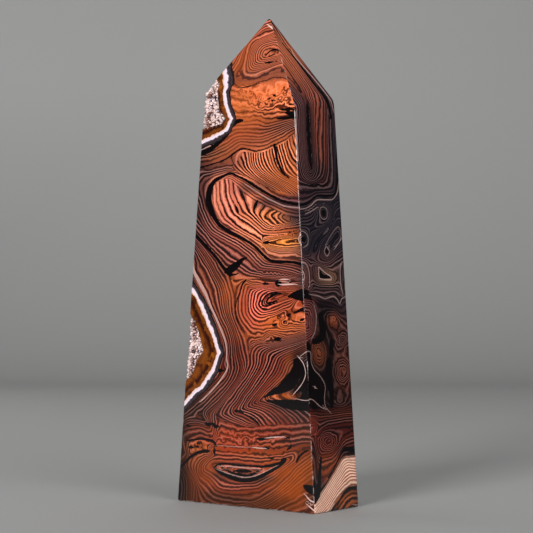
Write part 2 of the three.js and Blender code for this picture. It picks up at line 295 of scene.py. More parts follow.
FRONT_LINES = [
    # The black contour: over the pale wedge, round its left end and back under it
    (0, [37, 123, 31, 120, 28, 119.6, 25, 119.9, 20, 121, 15, 123, 10, 125.4, 5, 128.2, 0, 131, -4, 132.8,
         -8, 134.3, -12, 133.6, -16, 132.5, -18.5, 130.5, -20, 127, -20, 124, -18.5, 120, -16.8, 117,
         -14.5, 114, -11, 111.8, -7, 110, -3, 108.3, 1, 106.3, 5, 104, 9, 100.7, 12, 98.6, 15, 97.8,
         20, 97.5, 25, 97, 29, 95.8, 31, 93.5, 35, 92]),
    (-3.5, [-9, 132, -5, 130, -2, 127.8, 2, 125, 5, 123.3, 10, 121, 15, 119, 20, 117, 25, 115.5, 34, 115]),
    # Round the outside of the wedge and down to the right
    (4, [-25, 137.2, -20, 136.6, -16, 136.8, -11, 137.3, -7, 137]),
    (2, [-25, 130, -21.5, 134, -16, 135, -10, 135.8]),
    (5, [-27, 121.5, -24, 116, -20, 111, -15, 107.8, -8, 104.4, -2, 101, 4, 96.5, 9, 93.3, 20, 92.2, 28,
         91.3]),
    (6, [-27, 117, -22, 112, -15, 105.6, -10, 102.7, -5, 99.5, 2, 95, 5, 93.8, 15, 93, 25, 91.6]),
    (9, [-28, 111.5, -26, 109.5, -20, 104.5, -15, 100, -12, 96.7, -9, 94, -8, 92.5]),
    (8, [-10, 97.3, -5, 95.3, 2, 92.3, 10, 91.5, 20, 90.7, 28, 90]),
    # Left strip, from the dark diagonal to the stripe round the lower hollow
    (9, [-7.5, 91, -6, 88, -5, 84, -5, 79, -4, 75, -2, 72, 0, 69.5, 1.6, 66, 2.6, 62, 3, 58, 2.7, 56,
         0, 52, -5, 46.5, -10, 41.5, -14, 37.5]),
    (12, [-18, 97.5, -14, 92, -11.5, 88, -10, 84, -9.6, 80, -8, 75, -5.5, 70.5, -3.8, 66, -3, 62, -1.6, 58,
          -1, 55.5, -3, 51, -8, 45.5, -14, 40, -19, 36.5]),
    (15, [-27.5, 105.5, -24, 101, -19.5, 95, -16, 90, -14, 85, -13, 81, -11.5, 76, -8.7, 71.5, -6.6, 66.5,
          -6, 61, -5.3, 57, -5, 55, -8, 50, -13, 45, -19, 40, -25, 35.8]),
    (18, [-29, 101, -27.8, 99, -27.5, 95, -24, 90, -20.5, 85, -17.8, 80, -14.8, 75, -12, 70, -10, 66,
          -9, 63.5, -10, 60, -11, 57, -10.6, 55.3, -9.5, 54, -12, 51.5, -17, 47, -22, 43.3, -27, 39.6,
          -34, 35.2]),
    (21, [-31, 96, -28, 91.5, -21, 82.2, -17, 75, -13.6, 69, -11.8, 62, -13, 57.5, -19, 50, -26, 44, -35,
          38]),
    # Below the zigzags
    (9, [-14, 35, -8, 33.4, 0, 32, 5, 32.2, 8, 32.7, 14, 33.4, 20, 33.8, 30, 35, 36, 36]),
    (8, [-12, 31.6, 0, 30.4, 12, 31.2, 22, 31.8, 34, 33]),
    (7, [-12, 29, 0, 28, 12, 29, 22, 29.8, 34, 30.5]),
    (6, [-14, 26.5, -5, 26, 5, 26, 14, 26.4, 24, 27.6, 34, 28.5]),
    (5, [-14, 24.3, -5, 23.8, 5, 24, 14, 24.6, 22, 25.3, 27, 26.5, 34, 27.2]),
    (4, [-17, 22, -8, 21.5, 2, 21.3, 12, 21.5, 20, 22.3, 26, 24, 33, 25.3]),
    (2, [-20, 15, -16, 18, -8, 18.7, 2, 18.5, 12, 19, 19, 20.3, 24, 21.5]),
    # The eye near the foot, and the bowl of lines that holds it
    (1, [-15.5, 15, -13, 16.3, -10, 17, 2, 16.8, 10, 17, 17, 18.5, 22, 20.5, 17, 16.8, 10, 13, 5, 11, 0,
         10.3,
         -5, 10.8, -10, 12.3, -15.5, 15]),
    (0, [-11, 15, -6, 15.8, 2, 15.6, 9, 15.3, 3, 13, -4, 12.6, -11, 15]),
    (-2, [-4, 14.3, 0, 14.6, 3, 14.3, 0, 13.9]),
    (3, [-21, 13, -17.5, 11.5, -14, 9, -11, 7.4, -5, 7.7, 0, 8.2, 6, 9, 12, 11.6, 18, 15.2, 25, 19.8]),
    (5, [-23, 11, -18.5, 9, -15, 6.2, -11, 4.9, -4, 4.9, 2, 5.2, 8, 6.8, 14, 9.9, 20, 14, 27, 19.5]),
    (7, [-24, 8, -20, 5, -16, 2.2, -10, 1.5, 0, 1.5, 7, 2.6, 15, 6.8, 22, 12, 28, 17.5, 34, 21.5]),
    (10, [-31, 13.5, -27, 10, -25.5, 7, -25.3, 3, -26, 0]),
    (13, [-36, 16, -32, 12.5, -30, 9.5, -29.4, 6, -29.5, 0]),
    (16, [-36, 11, -34, 8, -33.5, 4, -34, 0]),
    (10, [2, 0, 12, 2.5, 22, 8.5, 30, 14.5, 36, 18.5]),
    # Streaks at the lower left
    (10, [-16, 27, -22, 28, -28, 27, -31, 24, -30, 20, -32, 17, -36, 14]),
    (8, [-18, 24, -24, 24, -28, 22.5, -29, 20.5, -27, 18.5, -24, 20, -18, 21]),
    (12, [-18, 30.5, -26, 31.5, -35, 29]),
    (15, [-20, 33.4, -28, 34, -35, 31]),
    # The arches over the fan and up to the tip
    (4, [-24, 137.8, -16, 139, -10, 140.5, -5, 143, -1, 144, 5, 142.6, 9, 142.9, 13, 144, 20, 146, 26,
         149]),
    (5, [-24, 139.8, -17, 140.6, -11, 142.2, -5, 144.7, -2, 145.4, 3, 144.6, 9, 144.3, 14, 145.6, 20, 147.5,
         26, 150]),
    (6, [-24, 141.6, -17, 142.3, -11, 143.8, -6, 145.8, -2, 146.6, 3, 146, 9, 145.9, 15, 147.3, 26, 150.9]),
    (8, [-21, 143.3, -16, 144.6, -10, 147, -5, 148.9, 0, 149, 6, 147.9, 12, 148.6, 18, 149.9, 26, 152]),
    (10, [-14, 149.5, -6, 152, 2, 151.9, 10, 150.8, 18, 151.7, 26, 153]),
    (12, [-6, 155.3, 0, 154.8, 6, 154.8, 10, 153.1, 16, 153.4, 26, 154.3]),
    (14, [-5, 159.5, 2, 158.6, 7, 157.8, 11, 156.6, 15, 156.8, 19, 156.8, 27, 156.4]),
    (16, [-6, 165, 0, 162.8, 5, 160.6, 10, 159.6, 14, 160.4, 18, 162, 22, 160.3, 27, 159]),
    (18, [-7, 171, -3, 170, 2, 170.5, 8, 171.4, 14, 171.7, 20, 170]),
    (19, [-8, 176, -6, 173.8, 0, 172.8, 6, 173.5, 12, 174.3, 18, 174]),
    (20, [4.5, 192, 1, 190.7, -3, 189.4, -4.6, 187, -4.9, 183, -4.2, 178, -3, 175.6, 0, 175.3, 5, 176.3,
          11, 177.8, 16, 178.5]),
    (19, [6, 194, 1, 193.3, -4, 191, -6.6, 187, -6.4, 180, -5.6, 174.8]),
    (24, [8, 189.5, 3, 189, -1, 187.5, -2, 183.5, -0.6, 179.5, 3, 178.4, 9, 179.6, 14, 181]),
    (28, [10, 184.8, 5, 185.4, 2.5, 184.2, 2.4, 182.4, 5, 181.4, 10, 182]),
    (16, [4, 197.5, 0, 197, -5, 192.5, -9, 186.5, -11, 180]),
]

# Fan of lines under the arches
FAN_OUTLINE = [-7.5, 136.4, -3, 140.6, -1, 142.7, 5, 141.5, 9, 141.7, 13, 142.8, 20, 144.8, 24, 147.4,
               27.5, 149.5, 33, 130, 33, 124, 25, 123.5, 15, 126, 10, 128, 5, 130.2, 0, 132.5, -4, 134.4]
FAN_LINES = [
    (0, [-6, 137.4, -4.5, 136, 0, 133, 5, 130.5, 10, 128]),
    (3, [-0.5, 142, 0.3, 138.8, 1.8, 135.6, 5, 132.3, 9, 129.8, 14, 127.4]),
    (4, [1.5, 142, 1.8, 139, 3, 136, 6, 133, 10, 130.4]),
    (6, [4, 142, 4, 139, 5, 136, 8, 133.2, 12, 130.8, 18, 127.6]),
    (8, [6.4, 142.3, 6.6, 138, 9, 134.5, 13, 131.5, 19, 128.2]),
    (10, [8.8, 142.5, 9.2, 139, 11, 135.5, 15, 132, 20, 129]),
    (12, [12, 143.3, 12.7, 139, 14.3, 135, 18, 132, 23, 129]),
    (14, [14.5, 144, 15.3, 141, 16, 138, 17.5, 135, 19, 132.5, 22, 130.5, 25, 129.3, 29, 127.6]),
    (16, [17, 144.8, 18, 140.5, 19.5, 137, 21, 133.5, 24, 131, 28, 129.4]),
    (18, [19.4, 146, 20.2, 142, 22, 138, 24.8, 134.5, 29, 131.5]),
    (20, [22, 147, 22.8, 143, 24.7, 139.5, 28, 136]),
    (22, [24.5, 148, 26, 144, 29, 141]),
]

# Inside the wedge under the black contour
WEDGE_OUTLINE = [-17.8, 128, -17.2, 130.8, -10, 132.2, -7, 131.2, -5, 129.2, -3, 127.2, 2, 124, 5, 122.3,
                 10, 120, 15, 118, 20, 116, 25, 114.2, 34, 113, 34, 98, 25, 98.5, 20, 98.9, 15, 99.2, 12,
                 100,
                 9, 102.2, 5, 105.6, 1, 108, -3, 109.8, -7, 111.6, -11, 113.6, -13.5, 116, -15.6, 119,
                 -17.3, 123]
WEDGE_LINES = [
    (0, [-17.6, 130, -17.6, 125, -16.4, 121, -14, 116.5, -11, 113.7, -5, 110.8, 1, 108, 5, 105.7, 9, 102.4,
         13, 99.8, 20, 99, 34, 98]),
    (2, [-13.5, 131, -13.2, 125, -11.6, 120.5, -9.5, 117, -6, 114, 0, 110.5, 5, 107.8, 8, 106.4, 9.2, 105.2,
         12, 102.9, 18, 101.6, 26, 101.3]),
    (3, [-10.6, 131, -10.3, 126, -8.5, 122, -6.5, 118, -3, 115.5, 3, 112, 8, 109, 10, 108.2, 18, 107.6,
         27, 107.6]),
    (4, [-8.8, 131, -8.3, 126, -6, 122.5, -4.5, 118.5, 0, 115.5, 6, 111.6, 10, 109.3, 18, 108.8, 27, 109]),
    (5, [-6.4, 129, -5.8, 126, -3, 122, -1.5, 118.5, 2, 116, 8, 112, 11, 110.4, 18, 110, 26, 110.4]),
    (6, [-1.5, 126, 0.3, 121.6, 1.8, 118, 5, 115.4, 9, 112.5, 12.5, 111, 20, 111.2, 27, 111.8]),
    (7, [5.6, 122.4, 4.2, 119, 4.3, 117.6, 6.2, 115.8, 11, 112, 14, 111.2]),
    (8, [10.4, 120.4, 8.6, 118.6, 7.3, 116.6, 7.3, 116.4, 9.5, 114, 14.5, 110.9]),
    (9, [15, 118.6, 12.6, 117.8, 10.5, 116.3, 10.5, 116.1, 12.8, 113.7, 17, 111]),
    (10, [17, 117.8, 15, 116.9, 13.5, 115.9, 13.5, 115.7, 15.5, 113.8, 19.5, 111.7]),
    (11, [19, 117, 17.6, 116.2, 16.5, 115.4, 16.5, 115.2, 18, 114, 21, 112.3]),
    (12, [21.5, 116, 19, 115.1, 19, 114.9, 22.5, 113]),
    (6, [26, 108.4, 19, 107.1, 12.5, 106.4, 9.5, 105.4, 9.5, 105.2, 13, 104, 20, 103, 27, 102.8]),
    (7, [26, 107, 19, 106.4, 14.5, 105.4, 14.5, 105.2, 20, 104, 27, 103.8]),
    (8, [27, 105.8, 21, 105.4, 21, 105.2, 27, 104.8]),
]

# Loops in the middle of the face
LOOPS_OUTLINE = [-7.5, 91, -6, 88, -5, 84, -5, 79, -4, 75, -2, 72, 0, 69.5, 1.6, 66, 2.4, 62.4, 5, 64.8,
                 8, 65.6,
                 14, 65.6, 20, 66.2, 28, 68.6, 36, 70, 36, 89.5, 20, 90.3, 8, 91.2]
LOOPS_LINES = [
    (9, [-8, 91, -6, 88, -5, 84, -5, 79, -4, 75, -2, 72, 0, 69.5, 1.6, 66, 2.9, 61]),
    (10, [0.5, 90.8, -1.5, 88.6, -2.4, 86, -3.4, 83, -3.4, 79, -2.6, 75.5, 0.4, 71.8, 4.5, 69.8, 10, 69.4]),
    (12, [2, 88, 0.4, 84.5, 0.3, 80, 1.2, 76.2, 4.5, 73, 9, 72.2, 15, 73.6, 20, 75.6]),
    (13, [3.2, 87, 1.8, 84, 1.8, 80, 3, 76.5, 6, 74, 10, 74.4, 15, 75.8, 20, 77.5]),
    (15, [24, 87.6, 14, 87.4, 8, 86.8, 5.2, 85.2, 4.5, 82, 4.6, 79.8, 6.5, 77.6, 9, 76.6, 15, 77.4, 22,
          79.6]),
    (16, [24, 87, 15, 86.8, 10, 86.3, 7, 84.8, 6, 82, 6, 80, 8, 78, 11, 77.6, 16, 78.8, 23, 81]),
    (17, [24, 86.4, 16, 86.3, 12, 85.8, 9, 84.4, 7.5, 82, 7.5, 80.2, 9.5, 79, 12, 78.8, 17, 80.2, 24,
          82.2]),
    (18, [24, 85.9, 17, 85.8, 13, 85.2, 10.4, 83.8, 9, 82, 9, 80.6, 11, 80, 17, 81.6, 24, 83.1]),
    (20, [24, 85.1, 18, 85, 14.5, 84.4, 12, 83.2, 11, 81.8, 11.4, 81.2, 13.6, 81.6, 18, 82.8, 24, 84]),
    (21, [22, 84.6, 18, 84.4, 15, 83.7, 13.4, 82.8, 13.4, 82.4, 15, 82.6, 18, 83.5, 22, 84.4]),
    (14, [27, 83, 22, 77.2, 17, 75, 24, 73.8, 30, 73.4]),
    (10, [36, 72, 28, 70.6, 20, 70, 14, 70.3]),
    (8, [4, 66.3, 9, 67, 13, 69, 17, 68.6, 22, 67.8, 30, 69.5, 36, 70]),
    (6, [3.4, 63.8, 6, 65.2, 10, 66, 16, 66, 20, 66.6, 28, 69, 36, 70.4]),
    (8, [-6, 90.5, 0, 91, 8, 90.8, 20, 90, 36, 89]),
    (10, [3, 89, 8, 88.6, 14, 88.4, 20, 88, 28, 88.4]),
]

# Zigzags between the loops and the foot
ZIGZAG_OUTLINE = [2.4, 62.4, 5, 64.8, 8, 65.6, 14, 65.6, 20, 66.2, 28, 68.6, 36, 70, 40, 70, 40, 36.4, 30,
                  35, 20, 33.8,
                  14, 33.4, 8, 32.7, 5, 32.2, 0, 32, -8, 33.4, -14, 35, -15.4, 36.2, -10, 41.5, -5, 46.5,
                  0, 52, 2.7, 56, 3, 58]
ZIGZAG_LINES = [
    (9, [36, 69.6, 28, 68.2, 20, 65.8, 14, 65.2, 8, 65, 5, 63.8, 3.2, 61.8, 3, 58, 2.7, 56, 0, 52, -5,
         46.5, -10, 41.5, -14.4, 36.3, -14.4, 36.1, -8, 33.8, 0, 32.2,
         4, 32]),
    (7, [36, 68.6, 28, 67.2, 20, 65.2, 14, 64.4, 9, 63.4, 6.6, 61.6, 6.2, 58, 4.8, 54.6, 0.5, 49, -4,
         43.8, -10.2, 36.8, -10.2, 36.6, -5, 34.9, 0, 33.4,
         4, 32.6]),
    (4, [36, 67.6, 28, 66.2, 20, 64.2, 15, 63, 11.4, 61.4, 10.3, 57.8, 8.8, 54.5, 5, 50, -0.5, 43.5, -4.6,
         38.2, -4.6, 38, 0, 37, 3, 36, 6, 34.5,
         8, 32.6]),
    (2, [36, 66.8, 29, 65.4, 22, 63.2, 18, 62, 14.6, 60.4, 13.3, 57.8, 11.6, 54, 7.5, 49.4, 2.3, 43.8, -1,
         39.3, -1, 39.1, 4, 38.1, 8, 36.6,
         12, 33.2]),
    (0, [36, 66, 31, 64.8, 25, 62.8, 21, 61.4, 17.4, 59.8, 16.2, 57.6, 14.4, 53.7, 10, 49, 5, 44.4, 2,
         40.4, 2, 40.2, 8, 39, 12, 37.4, 16.5, 34]),
    (-2, [36, 65, 32, 63.8, 28, 62.2, 24, 60.6, 20, 58.8, 19, 57.4, 17, 53.4, 12, 48.9, 8, 45.1, 5, 41.6,
          5, 41.4, 10, 40.4, 15, 38.8,
          20.5, 34.8]),
    (-4, [36, 64, 31, 62.2, 27, 60.2, 23, 58.4, 21.8, 57, 19.6, 53, 14.5, 48.4, 11, 45.8, 8, 42.6, 8,
          42.4, 14, 41.3, 19, 39.6,
          25, 35.6]),
    (-7, [36, 62, 31, 60, 27, 57, 25, 53, 20, 49, 15, 46, 13, 44, 20, 42, 26, 40, 32, 37]),
]

# Strokes on the front face: x, height and width of the stroke at each point

FRONT_DARK = [
    # The black contour, thick round the left end of the wedge
    [37, 123, 0.9, 31, 120, 1.0, 28, 119.6, 1.1, 25, 119.9, 1.1, 20, 121, 1.2, 15, 123, 1.2, 10, 125.4, 1.1,
     5, 128.2, 1.2, 0, 131, 1.1, -4, 132.8, 1.0, -8, 134.3, 1.0, -12, 133.4, 1.2, -16, 131.9, 1.8,
     -18.3, 129.6, 2.6, -19.3, 127, 3.1, -19.5, 123.5, 3.3, -18.2, 120, 3.0, -16.4, 117, 2.3, -14, 113.9,
     1.9,
     -10.8, 111.8, 1.7, -7, 109.9, 1.6, -3, 108.2, 1.4, 1, 106.2, 1.3, 5, 103.9, 1.3, 9, 100.6, 1.3,
     12, 98.5, 1.3, 15, 97.7, 1.3, 20, 97.4, 1.2, 25, 96.9, 1.2, 29, 95.7, 1.2, 31, 93.5, 1.0],
    # Arch over the fan
    [-24, 137.8, 0.7, -16, 139, 0.7, -10, 140.5, 0.7, -5, 143, 0.8, -1, 143.8, 0.7, 5, 142.6, 0.5, 9,
     142.9, 0.4,
     13, 144, 0.4, 20, 146, 0.3, 24, 148.2, 0.3],
    [14.5, 144, 1.4, 15.3, 141, 1.3, 16, 138, 1.3, 17.5, 135, 1.2, 19, 132.5, 1.0, 22, 130.5, 0.6],
    [6.2, 122.2, 1.0, 5, 120.4, 1.8, 4.3, 118.6, 1.0, 4.6, 117.2, 0.5],
    [-5.4, 121.6, 0.4, -4.4, 119.4, 1.4, -3.4, 117.6, 0.6],
    [9.2, 105.3, 0.6, 10.6, 105.3, 1.2, 13.2, 105.3, 0.5],
    [28.8, 107.6, 1.4, 28.9, 106, 2.4, 28.8, 104.4, 1.4],
    # Diagonals left of the wedge
    [-28, 111.3, 1.4, -26, 109.5, 1.5, -20, 104.5, 1.5, -15, 100, 1.5, -12, 96.7, 1.6, -9, 94, 1.6, -8,
     92.5, 1.2],
    [-10, 94.4, 2.0, -7, 95.4, 3.4, -4.4, 96.8, 3.0, -1.6, 98.8, 1.6, 1, 99.8, 0.5],
    [-9, 93.4, 1.4, -6, 92.9, 0.8, -3, 93.6, 0.3],
    # Loops in the middle
    [0.5, 90.6, 1.0, -1.3, 89, 1.0, -2.3, 86, 0.6, -4.0, 83, 0.6, -4.8, 79, 0.6, -4, 75, 0.5, -2, 72, 0.4],
    [22, 85, 0.3, 18, 85, 0.7, 14.5, 84.4, 1.0, 12, 83.2, 1.1, 11, 81.8, 1.0, 11.4, 81.2, 0.9, 13.6, 81.6,
     0.8,
     18, 82.8, 0.4],
    [17, 85.8, 0.3, 13, 85.2, 0.7, 10.4, 83.8, 0.9, 9, 82, 0.9, 9, 80.6, 0.8, 11, 80, 0.7, 17, 81.6, 0.3],
    [12, 85.8, 0.3, 9, 84.4, 0.7, 7.5, 82, 0.8, 7.5, 80.2, 0.8, 9.5, 79, 0.7, 12, 78.8, 0.5],
    [9, 89, 0.5, 10.5, 89, 1.1, 12.5, 89, 0.4],
    [15.8, 89, 1.2, 17, 88.9, 2.6, 18.4, 88.8, 1.0],
    [21.2, 83.5, 0.3, 23.5, 84, 1.8, 27, 84.2, 4.2, 30, 84.3, 4.6, 33, 85.5, 2.2, 35, 85.5, 0.8],
    [13.6, 72.6, 0.4, 15, 72.7, 1.2, 16.6, 73, 0.4],
    [21, 76, 0.3, 22, 76.3, 1.2, 23.2, 77, 0.4],
    [24.2, 77, 0.3, 26.5, 77.8, 1.1, 29.5, 79, 1.4, 31, 79.4, 0.4],
    [27.4, 74.3, 0.3, 28.7, 74.6, 1.3, 30, 75, 0.3],
    [19.2, 73.5, 0.3, 20, 73.8, 0.8, 21, 74.2, 0.3],
    [14.6, 66.8, 0.4, 16.6, 67, 1.6, 18.8, 67, 0.4],
    # Beak and dark fringe of the upper rind, spur of the lower one
    [-10.4, 152.2, 1.6, -7.6, 154, 2.6, -5, 155.2, 2.0, -2.6, 155.4, 1.4, -1, 155.3, 0.4],
    [-25, 143.6, 2.6, -20, 144.6, 2.4, -15.6, 146.6, 2.0, -12, 148.6, 1.4, -9, 150.6, 0.8],
    [-14.6, 54.5, 1.6, -12.4, 54.2, 1.4, -10.2, 54.1, 0.4],
    # Black pool right of the zigzags
    [27, 59, 2.4, 29, 56.6, 3.2, 30, 52.6, 3.6, 28.6, 49, 3.4, 25.6, 46.6, 1.6],
    [25.4, 58.6, 2.0, 26, 56, 3.6, 25.2, 53, 5.4, 22.6, 50, 6.0, 18, 47.4, 3.6, 13, 45.4, 1.6, 10, 44, 0.8],
    [11.5, 42.6, 0.8, 16, 42.4, 1.6, 22, 41.6, 3.6, 29, 41.6, 4.4, 36, 42.4, 7.0],
    [33.5, 57, 4.6, 33.5, 51, 6.4, 32, 46, 6.4, 30, 43, 5.0],
    [-4.6, 38, 1.0, -2.6, 38.2, 0.8, 0, 37, 0.7, 3, 36, 1.0, 6, 34.5, 1.1, 7.8, 32.9, 0.8],
    # Lower part
    [-21, 32.6, 0.6, -18.5, 32, 1.7, -16.6, 32.6, 1.0, -15, 31.6, 1.8, -12.5, 31.5, 0.5],
    [-30.5, 31, 0.6, -29.4, 31, 1.2, -27.5, 31, 0.3],
    [7, 27.5, 0.8, 8.6, 27.4, 1.3, 11, 27.8, 0.9, 16, 28.4, 0.4],
    [20.4, 28.5, 0.5, 22, 28.7, 1.1, 23.4, 28.7, 0.4],
    [9.6, 24, 0.4, 11.4, 24, 1.2, 13, 24, 0.4],
    [12, 20.3, 0.5, 14, 20.3, 1.0, 16, 20.1, 0.5],
    [23.6, 26.2, 0.6, 23.4, 25, 1.0, 21.4, 23.9, 0.5],
    [26.2, 19.2, 0.5, 26.8, 20.4, 1.1, 28, 22, 0.9, 30, 23.5, 0.8, 33, 24.5, 0.5],
    [18.8, 19.2, 0.6, 20, 19.8, 2.0, 21.4, 20.6, 0.6],
    [-30, 25, 0.6, -25, 25.8, 0.8, -20, 26, 0.9, -16, 25.3, 1.3, -14.3, 23.6, 1.0],
    [-29, 22.4, 0.7, -27.8, 22.4, 1.3, -26.6, 22.4, 0.5],
    [-25.8, 22.6, 0.4, -24.6, 22.8, 1.1, -23.2, 22.6, 0.4],
    [-15.6, 23, 0.8, -15.2, 21.6, 1.2, -15.2, 20.2, 0.8],
    [-34, 13.6, 1.3, -31, 16, 1.2, -28, 18.5, 1.3, -24, 20.4, 1.3, -20.5, 21.2, 1.5, -18, 21.4, 0.8],
    # Eye near the foot
    [-15.5, 15, 0.5, -13, 16.2, 0.9, -10, 16.7, 0.9, -4, 16.6, 0.8, 2, 16.6, 0.8, 9, 16.7, 0.9, 15, 17.6,
     1.0,
     21, 20, 0.6],
    [-15.4, 14.8, 0.6, -13, 13.6, 1.6, -10, 12.5, 1.7, -5, 11.1, 1.7, 0, 10.7, 1.7, 5, 11.5, 1.7, 10,
     13.4, 1.6,
     17, 16.9, 1.3, 21, 19.3, 0.6],
    [-12.6, 15.4, 0.5, -8, 13.9, 0.8, -3, 12.8, 0.8, 2, 12.7, 0.8, 6, 14, 0.9, 9.4, 15.7, 0.5],
    [-5, 14.3, 0.4, -2.4, 14.3, 1.5, 1.6, 14.4, 1.4, 4.4, 14.6, 0.3],
    # Foot of the right front edge, and the dark left foot
    [30, 10.6, 1.0, 32, 9.6, 3.0, 35, 9, 3.6],
    [-36, 14, 1.6, -35, 9, 3.0, -34.4, 4, 2.6, -35, 0.6, 2.0],
    # Tip
    [4, 182.2, 0.5, 5.6, 184, 0.8, 8, 184.6, 0.8, 10, 183.6, 0.5],
    [4.6, 179.2, 0.5, 7, 179, 0.9, 10.4, 179.2, 0.5],
    [5.4, 181.6, 0.4, 7, 181.9, 0.8, 8, 182.8, 0.5],
    # Bars and spots in the orange field
    [20, 156.4, 0.8, 22, 156.1, 1.6, 26, 155.7, 1.8],
    [15.6, 154.5, 0.5, 19, 154.4, 1.1, 26, 154.1, 1.2],
    [17, 158.2, 0.5, 19, 157.8, 1.1, 22, 157.6, 0.9, 25.6, 157.3, 0.7],
    [10, 163, 0.4, 11.2, 163, 1.0, 12, 163.2, 0.4],
    [12.6, 164.6, 0.5, 13.4, 164.2, 1.1, 14.2, 163.6, 0.4],
    [12.4, 161.9, 0.4, 13.2, 162, 1.0, 14, 162.3, 0.4],
    [21.4, 159.6, 0.4, 22.2, 159.7, 0.9, 23, 159.7, 0.3],
    [-6.5, 169.6, 0.4, -3, 169.2, 0.6, 1, 169.6, 0.5, 5, 170.4, 0.3],
]

FRONT_PALE = [
    # Grey streaks in the dark fringe of the upper rind
    (0.4, [-24.4, 145, 0.5, -20, 146.2, 0.5, -17, 147.3, 0.5, -13, 149.3, 0.3]),
    # Stripe outside the lower hollow's dark band
    (0.42, [-28.4, 99.6, 1.1, -27.3, 95, 1.5, -24, 90, 1.6, -20.5, 85, 1.3, -17.8, 80, 1.0, -14.8, 75,
            0.9, -12, 70, 0.8, -10, 66, 0.7, -9.2, 62, 0.6, -9.2, 58.6, 0.6, -8.6, 55.6, 0.6, -10.4,
            52.6, 0.6, -14, 48.6, 0.6, -18.5, 44.6, 0.5, -23, 41.2, 0.4]),
    # Mauve band under the contour
    (0.25, [28, 118.2, 0.5, 20, 119.4, 0.6, 15, 121.3, 0.6, 10, 123.6, 0.6, 5, 126.5, 0.5, 0, 129.3, 0.4]),
    # Thin lines over the black pool
    (0.6, [27, 60.1, 0.25, 29.4, 57.6, 0.3, 30.5, 54, 0.3, 29.6, 51, 0.3, 27.2, 48, 0.3, 24.5, 45.5, 0.2]),
    (0.4, [28, 60.5, 0.25, 31, 62.3, 0.3, 33, 62, 0.3]),
    (0.5, [26, 43.9, 0.2, 30, 43.4, 0.25, 34, 43.8, 0.25]),
    # Bars
    (0.65, [17.6, 88.5, 0.3, 21, 88.5, 0.7, 25.6, 88.5, 0.3]),
    (0.6, [18, 90.5, 0.3, 19.8, 90.5, 0.5, 22, 90.4, 0.2]),
    (0.5, [11, 28, 0.3, 15, 28.5, 0.5, 20.4, 28.9, 0.3]),
    (0.5, [4.6, 24, 0.3, 7.6, 23.9, 0.5, 11.2, 23.9, 0.3]),
    (0.25, [-14, 23.9, 0.2, -6, 23.8, 0.3, 3, 23.9, 0.2]),
    (0.3, [-12.5, 15.6, 0.25, -6, 15.8, 0.5, 2, 15.7, 0.5, 9, 15.8, 0.25]),
    (0.3, [-14.2, 14.3, 0.2, -8, 12.9, 0.35, 0, 11.9, 0.4, 6, 12.9, 0.4, 12, 15.3, 0.3, 17, 17.6, 0.2]),
    # Pale ring of the eye by the right edge
    (0.4, [28.6, 109.1, 0.4, 26.7, 106, 0.45, 28.6, 103, 0.4]),
    # Scratches at the foot of the right front edge
    (0.7, [30.6, 7.2, 0.2, 33, 5.2, 0.5, 36, 4.4, 0.5]),
    (0.7, [31.4, 3.6, 0.2, 33.6, 2.2, 0.5, 36, 0.8, 0.6]),
    # Tip
    (0.8, [1, 196.4, 0.3, 3, 195, 0.6, 5, 193.6, 0.3]),
]


# Drawings of the narrow right face: y and height in millimetres

